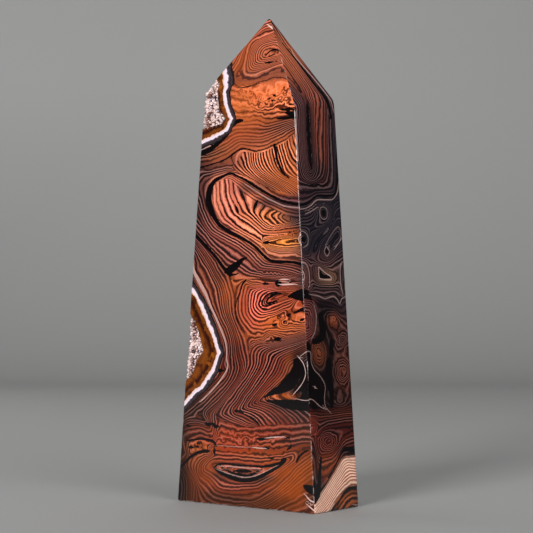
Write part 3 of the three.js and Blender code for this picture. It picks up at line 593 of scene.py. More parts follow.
RIGHT_LINES = [
    (0, [-15, 119.3, -10, 120, -7, 121.3, -4, 123, -1, 124.2, 4, 124.4, 8, 124.8, 10, 125.5, 11.5, 127,
         12.5, 130, 13, 134, 13.6, 145, 14, 160]),
    (2, [-14, 124, -8, 124.6, -3, 126, 3, 126.6, 8, 127.4, 10, 130, 10.8, 135, 11.4, 150, 12, 163]),
    (3, [-12, 128, -8, 127.8, -3, 128, 0, 128.8, 2, 128.2, 5, 128.8, 7, 131, 8.2, 136, 9, 150, 10, 164]),
    (6, [-14, 163, -12.4, 150, -12.2, 138, -11, 132, -8, 129.8, -4, 129.6, 0, 131, 3, 134, 4.4, 140, 5,
         152, 7, 166]),
    (9, [-8.5, 161, -9.6, 150, -9.5, 140, -8.5, 134, -6, 131.5, -3.4, 132.6, -1.8, 136, -1.4, 148, -1, 158,
         1.4, 168]),
    (13, [-5.6, 160, -6.6, 150, -6.4, 140, -5.4, 135.6, -4.6, 135, -3.6, 137, -3.6, 148, -3.4, 158]),
    # Tip
    (4, [0, 188, 2, 183.5, 4, 179, 6, 173, 9, 165, 10.6, 158]),
    (2, [4, 187, 5, 183, 7, 178, 9.6, 172, 12, 166]),
    (0, [6, 185, 9, 178, 12, 170]),
    (7, [-2, 188, 0, 183, 2, 178, 3.6, 172, 5.4, 166]),
    (10, [-4, 184, -2.4, 178, -0.6, 172, 0.6, 166]),
    (13, [-7, 178, -5.6, 172, -5, 166]),
    # Below the contour
    (-2, [-15, 115.6, -10, 116.5, -6, 118, -2, 119.9, 2, 121.4, 6, 121, 9, 122.4, 12, 125.4, 14.4, 131]),
    (-5, [-15, 112.4, -9, 112.6, -5, 114.6, -3.4, 117.3, -1.6, 120.2, 2, 121.0, 5.6, 120.2, 7.2, 117.3, 6,
          114,
          3, 112.6, -3, 110, -7, 108.4]),
    (-8, [-0.6, 117.3, 0.3, 119.6, 2, 120.3, 4, 119.6, 4.8, 117.3, 4, 115, 2, 114.2, 0.3, 115, -0.6,
          117.3]),
    (-11, [1.2, 117.3, 2, 118.1, 2.8, 117.3, 2, 116.5, 1.2, 117.3]),
    (-8, [-15, 109.2, -12.2, 109.4, -9.8, 108, -9.2, 106, -10, 104, -12.4, 103, -15, 103.2]),
    (-11, [-13.6, 106, -12.3, 106.9, -11.2, 106, -12.3, 105, -13.6, 106]),
    (-2, [0, 103.4, 2, 105.4, 5, 108, 9, 111.6, 12, 113.6, 14.6, 110, 13, 105.4, 9, 103.2, 6.6, 100.6,
          3, 99.4, 0.4, 100.6, 0, 103.4]),
    (-5, [2, 104, 5, 106.6, 9, 110, 12, 111.2, 12.6, 108.6, 11, 106.6, 7, 104, 5, 101.6, 2.7, 100.4,
          1.4, 101.8, 2, 104]),
    (1, [-8, 102, -5, 106, -1, 109, 3, 111.6, 8, 115.6, 12, 119, 15, 120]),
    (2, [-15, 99.6, -8, 98, -3, 96.6, 3, 96.4, 9, 98.6, 14, 100.4]),
    (4, [-15, 97.6, -12, 97.4, -10.4, 96, -9.6, 94, -9.6, 88, -10.6, 86.4, -15, 86]),
    (8, [-15, 94.6, -13.6, 94.2, -12.6, 92, -13.6, 89.6, -15, 89.2]),
    (5, [-6, 95.8, -5.8, 90.4, -1, 89.4, 6, 90, 6.8, 92, 3, 93.8, -1, 95.4, -6, 95.8]),
    (8, [-4, 94.6, -4, 91.2, 5, 91.2, 0, 93.2, -4, 94.6]),
    (4, [15, 98, 12.6, 96, 11.6, 92, 11.8, 87, 13.4, 84.8, 15, 84.4]),
    (2, [-11, 88.4, -5, 87.8, 2, 87.4, 9, 87.6, 11, 86]),
    (0, [-11, 85.6, -5, 85, 0, 84.6, 5, 85.4, 8, 84.6, 9.7, 82.4, 11, 84, 13, 83.4, 15, 83]),
    # Rose and mossy patches down to the pool
    (-4, [-15, 81.4, -10, 81.6, -8, 80, -7, 76, -8.5, 70, -11, 67, -15, 66]),
    (-8, [-15, 78, -12, 78, -10.4, 75, -11, 71, -15, 69.6]),
    (-3, [-5, 80.6, 1, 79.6, 6, 79.4, 10, 77, 14, 78.6]),
    (-6, [2, 76, 6, 76.4, 8, 73, 5, 71, 1.6, 72.6, 2, 76]),
    (-6, [8, 69, 11.6, 70, 14, 67.6, 12, 65.6, 9, 63.6, 6.4, 64.6, 6, 67, 8, 69]),
    (-9, [9, 66.8, 10.4, 67.4, 11, 66.4, 9.6, 65.6, 9, 66.8]),
    (-5, [-10, 64, -7, 66.4, -3.6, 64.6, -2.6, 61, -4.4, 57.4, -8, 56.8, -10.4, 59.4, -10, 64]),
    (-8, [-8, 62.6, -6.4, 63.8, -4.8, 62.6, -5.2, 60.4, -7.4, 60, -8, 62.6]),
    (-5, [3.6, 54, 5, 58, 9, 59.4, 13, 57.4, 14, 53.4, 12, 49.6, 8, 48.8, 4.6, 50.6, 3.6, 54]),
    (-8, [6.4, 54.4, 8, 56.6, 11, 56, 11.6, 53, 9.4, 51.2, 7, 51.8, 6.4, 54.4]),
    (-5, [3, 44.4, 5, 47, 8, 46.6, 9.4, 43.8, 7, 41.4, 4, 41.8, 3, 44.4]),
    (-2, [-15, 42, -11, 41.6, -7, 40, -3, 39, 4, 39.4, 10, 39.2, 15, 39.8]),
    (0, [-15, 38, -9, 37.6, -3, 37.2, 4, 37.6, 15, 37.8]),
    (2, [-10, 35, -3, 35.4, 4, 35.8, 15, 36]),
    (4, [-9.6, 31, -6, 32.6, 0, 33.4, 8, 33.6, 15, 33.8]),
    (3, [-15, 36.4, -11, 35.4, -10, 33, -11, 30.6, -15, 29.8]),
    (7, [-14.4, 34, -12.6, 33.6, -12.6, 32.4, -14.4, 32]),
    (7, [-8.6, 27, -6.6, 29.6, -3, 30.2, 0.6, 28.6, 1.6, 26.4, -1, 24.4, -5, 24, -8, 25, -8.6, 27]),
    (10, [-5.6, 27, -3.7, 28, -2, 27, -3.7, 26, -5.6, 27]),
    (5, [-11, 29.6, -10, 24, -7, 22.2, -2, 22.4, 3, 25, 8, 29, 15, 30.6]),
    (3, [-12, 26, -10, 20, -6, 19.4, -1, 20.4, 3, 23, 8, 26, 15, 27]),
    (1, [-13, 22, -11.4, 15, -9, 13.4, -4, 14.8, 1, 18.6, 5, 22, 9, 23.6, 15, 23.8]),
    (0, [-16, 13, -12.6, 8.6, -9, 9.4, -5, 12.2, 0, 16, 5, 20.4, 8, 21.4, 15, 21.2]),
    # Striped foot
    (-1, [-16, 5, -11, 6.6, -5, 11, 0, 14.8, 5, 19, 8, 20, 15, 19.6]),
    (-5, [-15, 0, -11, 2.6, -5, 6.6, 0, 10.4, 5, 14, 9, 15.6, 15, 15]),
    (-9, [-9.6, 0, -5, 2.2, 0, 6.2, 5, 9.2, 10, 10.8, 15, 10.6]),
    (-10.5, [-5, 0, 0, 3.6, 5, 6.6, 10, 8, 15, 7.8]),
    (-13, [3, 0, 6, 2, 11, 3.4, 15, 3]),
]

RIGHT_DARK = [
    [-15, 119.3, 0.9, -10, 120, 0.9, -7, 121.3, 0.9, -4, 123, 0.9, -1, 124.2, 0.9, 4, 124.4, 1.0, 8,
     124.8, 1.0,
     10, 125.5, 1.0, 11.5, 127, 1.1, 12.5, 130, 1.2, 13, 134, 1.2, 13.8, 145, 1.2],
    [-12, 128, 0.5, -8, 127.8, 0.7, -3, 128, 0.7, 0, 128.8, 0.7, 2, 128.2, 0.7, 5, 128.8, 0.7, 7, 130.5,
     0.5],
    [-4.6, 134.6, 0.8, -4.9, 140, 1.9, -5.2, 150, 2.2, -4.8, 158, 1.4, -4.2, 162, 0.4],
    [0, 188, 0.6, 2, 183.5, 1.1, 4, 179, 1.6, 6, 173, 1.8, 9, 165, 2.0, 11, 157, 1.6],
    [2, 117.3, 2.8, 2.1, 117.3, 2.8],
    [-12.3, 106, 2.6, -12.2, 106, 2.6],
    [2.7, 102, 2.0, 2.8, 102, 2.0],
    [6, 104.1, 1.2, 6.1, 104.1, 1.2],
    [-2.4, 93.6, 1.2, -2.2, 92.4, 2.6, -0.6, 91.9, 1.8, 3.4, 91.6, 1.0],
    [-15, 84.6, 3.6, -12, 84.4, 3.4, -9.6, 82.6, 1.2],
    [-4, 76, 3.4, -3, 71, 4.6, -4, 67.6, 3.0, -9.6, 66, 2.2],
    [-13, 64.6, 2.6, -13.6, 58, 3.6, -11.4, 52.6, 4.6, -8.6, 47, 5.4, -6.6, 42.6, 4.0, -12, 41, 2.6],
    [0, 58, 3.4, -0.6, 52, 4.4, 0.6, 46, 3.4, 0, 41, 2.6],
    [2.4, 66, 2.6, 2, 62, 3.0],
    [-9, 21, 1.2, -10.5, 15, 2.0, -12, 8, 3.0, -15, 5, 2.6],
    [-5, 13, 0.8, 0, 17, 0.8, 5, 22, 1.0, 8, 23.3, 1.8, 13, 22.8, 2.0, 15, 22.8, 1.6],
    [0, 1.6, 0.5, 4, 5.6, 0.9, 9, 7.8, 1.2, 15, 7.6, 1.0],
]

RIGHT_PALE = [
    (0.4, [-15, 117.6, 0.3, -10, 118.4, 0.4, -6, 120, 0.5, -2, 122.3, 0.5, 4, 122.8, 0.5, 9, 123.4, 0.4,
           12.4, 126.4, 0.5,
     14, 131, 0.5]),
    (0.4, [-10, 116.2, 0.3, -6, 117.6, 0.4, -2, 119.4, 0.3]),
    (0.3, [2, 119.8, 0.3, 4, 119.2, 0.3, 4.6, 117.3, 0.3, 4, 115.4, 0.3, 2, 114.8, 0.3, 0, 115.4, 0.3,
     -0.6, 117.3, 0.3, 0, 119.2, 0.3, 2, 119.8, 0.3]),
    (0.3, [-15, 109, 0.4, -12.4, 109.2, 0.45, -10, 108, 0.45, -9.4, 106, 0.45, -10.2, 104, 0.45, -12.4,
           103, 0.4]),
    (0.2, [2, 104.4, 0.35, 5, 107.5, 0.4, 9, 111, 0.45, 12, 112.3, 0.45, 13.4, 109.6, 0.4, 12, 106.4, 0.4,
     9, 104.4, 0.35]),
    (0.4, [2.7, 104, 0.3, 4.6, 102, 0.35, 2.7, 100, 0.3, 0.9, 102, 0.3, 2.7, 104, 0.3]),
    (0.4, [8, 103, 0.3, 14, 108, 0.4]),
    (0.4, [-15, 97, 0.4, -12.4, 96.8, 0.5, -10.8, 95.4, 0.5, -10, 93, 0.5, -10, 88.6, 0.5, -11, 87, 0.4]),
    (0.4, [-15, 93.9, 0.4, -13.8, 93.4, 0.5, -13, 91.6, 0.5, -13.8, 89.8, 0.5, -15, 89.4, 0.4]),
    (0.6, [-3.6, 95.6, 0.3, -3.6, 92, 0.4, -3.4, 90.9, 0.4, 0, 90.6, 0.4, 4.6, 90.6, 0.5, 4.4, 92, 0.4, 1,
           93.2, 0.4,
     -2, 94.9, 0.4, -3.6, 95.6, 0.3]),
    (0.3, [-10, 84.5, 0.4, -5, 84, 0.5, 0, 83, 0.5, 5, 84, 0.5, 8, 83, 0.5, 9.7, 81, 0.5, 11, 83, 0.5, 15,
           84.5, 0.5]),
    (0.4, [12.4, 98, 0.4, 11.3, 95, 0.5, 11.2, 89, 0.5, 12, 85.6, 0.4]),
    (0.4, [-8, 80.4, 0.3, -6.8, 76, 0.4, -8.3, 70, 0.4, -11, 67, 0.3]),
    (0.3, [-15, 62.3, 0.4, -12, 62, 0.4, -11.9, 58, 0.4, -10, 55, 0.45, -7, 53, 0.45, -4.5, 50.5, 0.45,
           -3.5, 48, 0.4,
     -4.5, 44, 0.4, -4, 40.5, 0.4, -1, 38.2, 0.3]),
    (0.4, [-15, 44, 0.35, -12, 43.5, 0.35, -8, 41, 0.35, -4, 39.5, 0.3]),
    (0.4, [-10.9, 48.6, 0.3, -10.3, 48.3, 1.0, -9.6, 48, 0.3]),
    (0.4, [-13, 137, 0.25, -13, 150, 0.35, -12.4, 157, 0.3]),
    (0.4, [4, 186, 0.3, 3.4, 183, 0.8, 5.6, 178, 0.9, 8.4, 173, 0.9, 11, 167, 0.8, 13, 160, 0.4]),
    (0.3, [11, 1.2, 0.3, 13, 0.9, 0.6, 14.4, 1, 0.3]),
]


# Colours of the stone: place across and up, reach across and up, ground, line, share of dark line

FRONT_BASE = ("#8f4a34", "#33191a", 0.46)
FRONT_ZONES = [
    (4, 184, 8, 7, "#b06446", "#4a2018", 0.42), (0, 194, 5, 4, "#b46248", "#5a2a20", 0.4),
    (-7, 183, 3, 8, "#a2542e", "#6a3018", 0.15), (5, 174, 12, 2, "#965844", "#54302c", 0.4),
    (10, 165, 11, 4, "#cc7042", "#6a2a18", 0.24), (18, 161, 6, 3, "#d07a4e", "#6a2a18", 0.4),
    (-2, 161, 4, 6, "#b96839", "#7a3a1c", 0.08), (6, 155.4, 8, 2.4, "#b06036", "#3a1a14", 0.26),
    (19, 151, 8, 2, "#7c4430", "#2a1614", 0.5), (-2, 150, 9, 3.4, "#9e5030", "#5a2c1a", 0.14),
    (-14, 143.4, 6, 2.4, "#9a5634", "#4c2618", 0.16), (-20, 143.5, 5, 1.5, "#46281e", "#1e1010", 0.5),
    (8, 146.6, 10, 2, "#965034", "#4c2618", 0.18), (-18, 136.5, 8, 2, "#5c3630", "#261618", 0.5),
    (-5, 139, 4, 2, "#84483a", "#2a1614", 0.4), (4, 138, 7, 4, "#d07c58", "#1c0a0a", 0.52),
    (18, 139, 6, 5, "#cc7a50", "#1c0a0a", 0.52), (20, 130, 8, 3, "#b0602e", "#6a3018", 0.34),
    (10, 129, 7, 1.6, "#9a5436", "#3a1c18", 0.4), (4, 127.6, 8, 1.6, "#5c3a38", "#2c1a1c", 0.42),
    (20, 120, 9, 1.6, "#62363c", "#2a1a20", 0.42), (24, 116, 6, 1.6, "#5c3a38", "#2c1c20", 0.4),
    (-23, 127, 3, 7, "#6a3c34", "#22161a", 0.5), (-14, 124, 3, 8, "#d08268", "#6a3324", 0.24),
    (-7, 121, 4, 7, "#d8806a", "#200c0a", 0.44), (1, 117, 5, 6, "#da825e", "#200c0a", 0.5),
    (4, 110, 8, 3, "#dc8a68", "#200c0a", 0.4), (13, 116, 5, 3, "#d07c48", "#180a08", 0.54),
    (19, 109, 7, 2, "#b4623a", "#46201a", 0.42), (19, 105, 6, 1.8, "#d88838", "#3a180a", 0.4),
    (18, 101, 8, 2, "#b87458", "#5a2c24", 0.36), (-14, 108, 8, 5, "#8a4a40", "#2a1a1e", 0.5),
    (-22, 112, 5, 5, "#7c4438", "#24161a", 0.5), (-4, 101, 6, 4, "#985446", "#2e1a1c", 0.5),
    (14, 94.5, 12, 2.2, "#84483c", "#34201f", 0.46), (-20, 101, 5, 4, "#7a3a2a", "#2e1a18", 0.44),
    (-19, 92, 5, 7, "#8c4a34", "#3c1e1a", 0.46), (-8, 86, 3, 5, "#a2542e", "#5e2c1c", 0.22),
    (-9, 75, 5, 6, "#84462e", "#3a1e1a", 0.4), (-6, 60, 4, 7, "#6a2a1c", "#2c1612", 0.42),
    (0, 90, 6, 1.6, "#a0562e", "#4a2416", 0.36), (7, 80, 5, 5, "#d8705c", "#34120e", 0.44),
    (-1, 80, 2.4, 6, "#a8502c", "#54281a", 0.3), (14, 74, 5, 2.4, "#c86e34", "#6a3018", 0.34),
    (20, 80, 6, 4, "#a8502e", "#4a2018", 0.4), (24, 74, 6, 2.4, "#ba6a3e", "#4a2018", 0.4),
    (8, 68, 8, 2, "#a0562e", "#54281a", 0.34), (20, 64.5, 10, 2, "#7c463a", "#2c1c1c", 0.5),
    (4, 62, 3, 3, "#8a4028", "#3a201c", 0.4), (8, 53, 5, 6, "#8c4636", "#160808", 0.56),
    (0, 45, 5, 5, "#7c3c2e", "#180a0a", 0.54), (17, 56, 4, 5, "#8c4638", "#1a0c0c", 0.58),
    (22.4, 56, 1.6, 4, "#955229", "#6a341c", 0.2), (19, 50.4, 2.4, 1.6, "#955229", "#6a341c", 0.2),
    (27, 53, 4, 7, "#191012", "#120c10", 0.4), (34, 50, 5, 9, "#130f11", "#0e0a0e", 0.4),
    (19, 44.6, 6, 0.8, "#ab6029", "#5c2c16", 0.3), (24, 41, 8, 1.5, "#1c1214", "#120c10", 0.4),
    (8, 38, 7, 2, "#985646", "#1c0e0e", 0.56), (22, 37, 7, 1.6, "#6b3930", "#34201e", 0.46),
    (-10, 35, 6, 2, "#804333", "#2c1818", 0.48), (-16, 43, 5, 4, "#6c3727", "#32201e", 0.44),
    (-24, 38, 5, 4, "#4f2c1f", "#2a1a18", 0.44), (12, 31, 14, 2, "#803822", "#34180f", 0.3),
    (-3, 26, 12, 3.6, "#9a4420", "#4a2010", 0.24), (-24, 28.6, 6, 1.6, "#6e3622", "#2c1814", 0.34),
    (-24, 22.6, 6, 1.6, "#9b592e", "#1e1010", 0.5), (-33, 27, 2.4, 6, "#2a140e", "#140a0a", 0.2),
    (16, 24, 8, 2.4, "#8f4a2a", "#34160e", 0.32), (8, 20.6, 8, 1.2, "#9b5427", "#4a2216", 0.36),
    (-25, 17, 6, 2, "#8b4d29", "#4a2616", 0.3), (0, 14.4, 7, 1.2, "#a7624a", "#5a3028", 0.3),
    (0, 12, 10, 1.2, "#3a2826", "#1c1416", 0.4), (-22, 12, 5, 3.4, "#8d4a28", "#5e2e1c", 0.12),
    (-5, 8, 6, 2, "#90482f", "#4a2620", 0.4), (8, 7.4, 6, 2.6, "#803e1c", "#34160e", 0.3),
    (0, 2.4, 16, 2.2, "#50290f", "#2a140a", 0.2), (24, 10, 7, 5, "#985018", "#7a4424", 0.08),
    (14, 3, 8, 2.4, "#6c3812", "#44220e", 0.16), (-26, 7, 2.6, 6, "#62321a", "#3a1c10", 0.12),
    (-33, 9, 3.4, 9, "#1e0f0b", "#0c0607", 0.16), (33, 17, 4, 6, "#8d4c16", "#5e3220", 0.14),
    (34, 8, 2.6, 4, "#2c1c17", "#181012", 0.4), (30, 28, 5, 4, "#6b392b", "#38201c", 0.4),
    (-26, 122, 2.4, 12, "#3a2024", "#181014", 0.5), (-28, 100, 2, 8, "#4a2a26", "#1e1212", 0.5),
    (-35, 12, 4, 14, "#1c0e0a", "#0e0707", 0.14), (-30, 40, 5, 3, "#3e231a", "#1e1210", 0.44),
    (12, 121, 8, 1.6, "#4a2a2c", "#20141a", 0.46), (-12, 95, 4, 4, "#6c3826", "#2a1614", 0.44),
    (32, 100, 4, 9, "#2e2628", "#171417", 0.44), (29, 112, 4, 4, "#33292c", "#181418", 0.44),
]

# The right face's colours are its bands with painted shade: darker all over than the front's, as that face is
# turned from the light. The blue-grey greys of its middle, at heights of about 90 to 150 millimetres, are a
# painted reflection, a sheen.
RIGHT_BASE_WITH_SHADE = ("#3a2828", "#1a1216", 0.44)
RIGHT_ZONES_WITH_SHADE_AND_SHEEN = [
    (1, 182, 4, 6, "#c4744c", "#54281f", 0.28), (-5, 176, 3, 6, "#c0704a", "#4c2420", 0.26),
    (3, 169, 4, 8, "#9a5842", "#3c2020", 0.3), (11, 168, 3, 9, "#5a3a38", "#2a1c20", 0.4),
    (-9, 148, 4, 14, "#6c4440", "#2a1a1e", 0.44), (-4.6, 148, 1.8, 12, "#3a2224", "#140f13", 0.42),
    (3.6, 151, 3.4, 11, "#904c34", "#3a2020", 0.34), (11, 148, 3.4, 16, "#3c3438", "#1a181e", 0.42),
    (0, 134, 8, 3, "#442c2c", "#1c1418", 0.46), (-6, 126, 7, 2, "#3c2c32", "#1c161c", 0.42),
    (8, 120, 7, 4, "#38343a", "#19181e", 0.36), (-8, 114, 6, 4, "#3a3338", "#1b181d", 0.4),
    (4, 108, 8, 5, "#37323a", "#17151c", 0.4), (-10, 104, 5, 4, "#2a2b34", "#14151b", 0.4),
    (0, 97, 12, 3, "#6a4a46", "#2c2022", 0.44), (3, 92, 4, 2.4, "#a07a5c", "#2c2022", 0.3),
    (-13, 92, 3, 4, "#7a4c44", "#2e2022", 0.42), (2, 86.4, 10, 1.6, "#5e4440", "#211a1d", 0.5),
    (13, 92, 3, 6, "#50403f", "#1f191d", 0.46), (-12, 74, 3, 5, "#8a4c42", "#3a2020", 0.4),
    (4, 74, 2.4, 1.6, "#a05630", "#4a2418", 0.3), (-2, 72, 4, 5, "#1b1316", "#0e0a0e", 0.28),
    (9, 67, 4, 4, "#684034", "#281818", 0.44), (-6.5, 61.2, 3, 3, "#a05a30", "#4e2818", 0.34),
    (9, 54, 4, 4, "#74402c", "#2a1816", 0.44), (-10, 52, 5, 8, "#120c10", "#0a080a", 0.22),
    (0, 53, 3, 9, "#161014", "#0c090c", 0.22), (6, 44, 4, 3, "#4c3028", "#1f1518", 0.42),
    (5, 37, 10, 1.6, "#6c3a28", "#2c1814", 0.4), (-13, 33, 2.4, 3, "#96462e", "#4a2018", 0.3),
    (2, 31, 9, 3, "#582a26", "#241212", 0.4), (-4, 26, 5, 3, "#803c2c", "#3e1a16", 0.34),
    (8, 27, 6, 3, "#723826", "#301814", 0.38), (-4, 17.6, 6, 3, "#9a542e", "#5a3020", 0.3),
    (-13, 14, 2, 7, "#241818", "#120e10", 0.4), (12, 22.6, 5, 1.2, "#1c1416", "#120e10", 0.4),
    (7, 3.4, 4, 2, "#a8601c", "#3a1c0c", 0.4), (14, 3, 3, 4, "#7c4818", "#2a140c", 0.4),
]
# Mossy places, where the bands break up: place across and up, reach, and how much they waver
FRONT_MOSS = [
    (12, 163, 9, 3, 2.4), (-1, 167, 3, 2, 3.0), (4, 158, 6, 2, 1.0), (7, 183, 4, 2.4, 1.6), (20, 74, 6, 2,
    1.4),
    (0, 26, 12, 3, 1.6), (-24, 22, 5, 2, 1.2), (12, 68, 6, 1.6, 1.2), (16, 22, 7, 2, 0.8), (34, 96, 5, 8,
    0.8),
]
RIGHT_MOSS = [
    (9, 54, 4, 4, 1.2), (9, 66, 4, 3, 1.2), (-12, 74, 3, 5, 1.4), (6, 44, 4, 3, 1.0), (-6, 61, 3, 3, 0.8),
    (-4, 27, 6, 4, 0.8), (-4, 148, 3, 12, 0.8), (4, 75, 4, 3, 1.0),
]
STRIPED_FOOT = ("#ffceb4", "#9c4a2e", 0.32)
STRIPED_FOOT_OUTLINE = [-17, 2.6, -12.6, 6.2, -9, 8.4, -5, 11.3, 0, 15.2, 5, 19.4, 8, 20.3, 16, 20, 16, 8.8,
                        10, 9, 5, 7.4, 0, 4.6, -4, 1.2, -8, -1, -17, -1]


# Upper and lower rinds: the middle of the white band, as distance from the left front edge
# (to the right on the front face, negative on the left face) and height

def rind_outline(front, left):
    """Closed outline from points on the front face (x, height) and on the left face."""
    front = np.array(front, float).reshape(-1, 2)
    front[:, 0] -= left_edge(front[:, 1])[:, 0]
    return np.concatenate([front, np.array(left, float).reshape(-1, 2)])


UPPER_RIND = rind_outline(
    [-15, 178.6, -13, 175, -11.3, 170, -11, 165, -9.5, 160, -7.8, 156.5, -9.7, 152.7, -14.3, 150.5, -22,
     148.6],
    [0, 148.2, -4, 149.4, -8, 153, -10.6, 158, -11, 164, -9.6, 170, -7, 175, -3, 178])
LOWER_RIND = rind_outline(
    [-29, 88.5, -26, 85.5, -22.5, 80.5, -20.5, 76.5, -17.5, 71, -15.3, 67, -14, 63, -13, 61.2, -14.5, 58,
     -16.3, 54, -19, 50.5, -22.5, 47, -26, 45],
    [0, 39.4, -5, 41, -10, 46, -14, 54, -15, 63, -13.5, 72, -10, 80, -5, 86])


# Drawing tools

def pairs(numbers, width=2):
    """A flat list of numbers as rows."""
    return np.array(numbers, float).reshape(-1, width)


def resample(points, spacing):
    """A Catmull-Rom curve through the points, cut at nearly even steps. Extra columns are carried
    along. Where two points are very close the curve keeps its corner."""
    padded = np.concatenate([2 * points[:1] - points[1:2], points, 2 * points[-1:] - points[-2:-1]])
    pieces = []
    for i in range(len(points) - 1):
        before, start, end, after = padded[i:i + 4]
        length = np.linalg.norm(end[:2] - start[:2])
        count = max(1, math.ceil(length / spacing))
        t = (np.arange(count) / count)[:, None]
        near = min(np.linalg.norm(start[:2] - before[:2]), np.linalg.norm(after[:2] - end[:2]))
        pull = min(1.0, near / max(length, 1e-6))
        leave = (end - before) / 2 * pull + (end - start) * (1 - pull)
        arrive = (after - start) / 2 * pull + (end - start) * (1 - pull)
        pieces.append(start * (2 * t ** 3 - 3 * t ** 2 + 1) + leave * (t ** 3 - 2 * t ** 2 + t)
                      + end * (3 * t ** 2 - 2 * t ** 3) + arrive * (t ** 3 - t ** 2))
    pieces.append(points[-1:])
    return np.concatenate(pieces)


def in_chunks(function, points, size=6000):
    """A function of points worked out a few thousand at a time."""
    return np.concatenate([function(points[i:i + size]) for i in range(0, len(points), size)])


FIELD_POWER = 1.35
FIELD_SLACK = 0.12


class BandField:
    """Band numbers over a face: a sum of powers of the distance to the drawn points plus a sloping
    plane, with the weights solved so that each drawn line gets its number."""

    def __init__(self, lines, spacing=2.2, slack=FIELD_SLACK):
        centres, levels = [], []
        for level, numbers in lines:
            curve = resample(pairs(numbers), spacing)
            centres.append(curve)
            levels.append(np.full(len(curve), float(level)))
        self.centres = np.concatenate(centres)
        count = len(self.centres)
        matrix = np.zeros((count + 3, count + 3))
        matrix[:count, :count] = self.kernel(self.centres)
        matrix[:count, :count] += slack * np.eye(count)
        matrix[:count, count] = matrix[count, :count] = 1
        matrix[:count, count + 1:] = self.centres
        matrix[count + 1:, :count] = self.centres.T
        self.weights = np.linalg.solve(matrix, np.concatenate([*levels, [0, 0, 0]]))

    def kernel(self, points):
        gap = points[:, None, :] - self.centres[None, :, :]
        return -((gap ** 2).sum(2) ** (FIELD_POWER / 2))

    def at(self, points):
        count = len(self.centres)
        plane = self.weights[count] + points @ self.weights[count + 1:]
        return plane + in_chunks(lambda part: self.kernel(part) @ self.weights[:count], points)

    def slope_at(self, points):
        """Bands per millimetre: the length of the field's gradient."""
        count = len(self.centres)

        def gradient(part):
            gap = part[:, None, :] - self.centres[None, :, :]
            pull = -FIELD_POWER * ((gap ** 2).sum(2) + 0.2) ** (FIELD_POWER / 2 - 1) * self.weights[:count]
            return self.weights[count + 1:] + (pull[..., None] * gap).sum(1)
        return np.linalg.norm(in_chunks(gradient, points, 3000), axis=1)


def outline_distance(points, outline, far=8.0):
    """Signed distance to a closed outline: negative inside, and no more than far outside."""
    outline = np.asarray(outline, float)
    low = outline.min(0) - far
    high = outline.max(0) + far
    near = ((points > low) & (points < high)).all(1)
    distance = np.full(len(points), far)
    part = points[near]
    least = np.full(len(part), np.inf)
    inside = np.zeros(len(part), bool)
    for start, end in zip(outline, np.roll(outline, -1, 0)):
        along = end - start
        share = np.clip((part - start) @ along / (along @ along), 0, 1)
        least = np.minimum(least, np.linalg.norm(part - start - share[:, None] * along, axis=1))
        spans = (start[1] > part[:, 1]) != (end[1] > part[:, 1])
        rise = end[1] - start[1] if end[1] != start[1] else 1e-9
        inside ^= spans & (part[:, 0] < start[0] + (part[:, 1] - start[1]) / rise * along[0])
    distance[near] = np.clip(np.where(inside, -least, least), -far, far)
    return distance


STROKE_REACH = 3.0


def stroke_field(points, strokes):
    """For the nearest stroke: distance outside its edge, signed distance across it from its middle
    line, half its width and its strength. Far from it the half width is negative, so nothing is
    drawn there."""
    strength = np.zeros(len(points))
    edge = np.full(len(points), STROKE_REACH)
    across = np.full(len(points), STROKE_REACH)
    half = np.full(len(points), -1.0)
    for force, numbers in strokes:
        curve = resample(pairs(numbers, 3), 1.2)
        low = curve[:, :2].min(0) - STROKE_REACH - 2
        high = curve[:, :2].max(0) + STROKE_REACH + 2
        near = np.nonzero(((points > low) & (points < high)).all(1))[0]
        if len(near) == 0:
            continue
        part = points[near]
        for start, end in zip(curve[:-1], curve[1:]):
            along = end[:2] - start[:2]
            length = math.hypot(*along)
            if length < 1e-6:
                continue
            share = np.clip((part - start[:2]) @ along / length ** 2, 0, 1)
            away = part - start[:2] - share[:, None] * along
            distance = np.linalg.norm(away, axis=1)
            width = (start[2] + (end[2] - start[2]) * share) / 2
            nearer = distance - width < edge[near]
            chosen = near[nearer]
            side = np.sign(along[0] * away[nearer, 1] - along[1] * away[nearer, 0])
            edge[chosen] = (distance - width)[nearer]
            across[chosen] = distance[nearer] * np.where(side == 0, 1, side)
            half[chosen] = np.where(distance[nearer] < 1.3, width[nearer], -1.0)
            strength[chosen] = force
    return edge, across, half, strength


def linear(colour):
    """A hex sRGB colour as linear red, green and blue."""
    value = np.array([int(colour[i:i + 2], 16) / 255 for i in (1, 3, 5)])
    return np.where(value <= 0.04045, value / 12.92, ((value + 0.055) / 1.055) ** 2.4)


ZONE_FLOOR = 0.1
# The drawn tones are of dry agate, polished it is deeper: powers and a factor for the ground of
# each face, and a factor for the lines
FRONT_DEPTH = ((1.35, 1.24, 1.22), 1.25)
RIGHT_DEPTH = ((1.2, 1.2, 1.15), 1.1)
LINE_DEPTH = 0.55
# Low down the stone is warmer: the green and blue that it loses, and the heights between
# which the loss fades out
WARM_LOSS = (0.18, 0.28)
WARM_HEIGHTS = (45.0, 85.0)


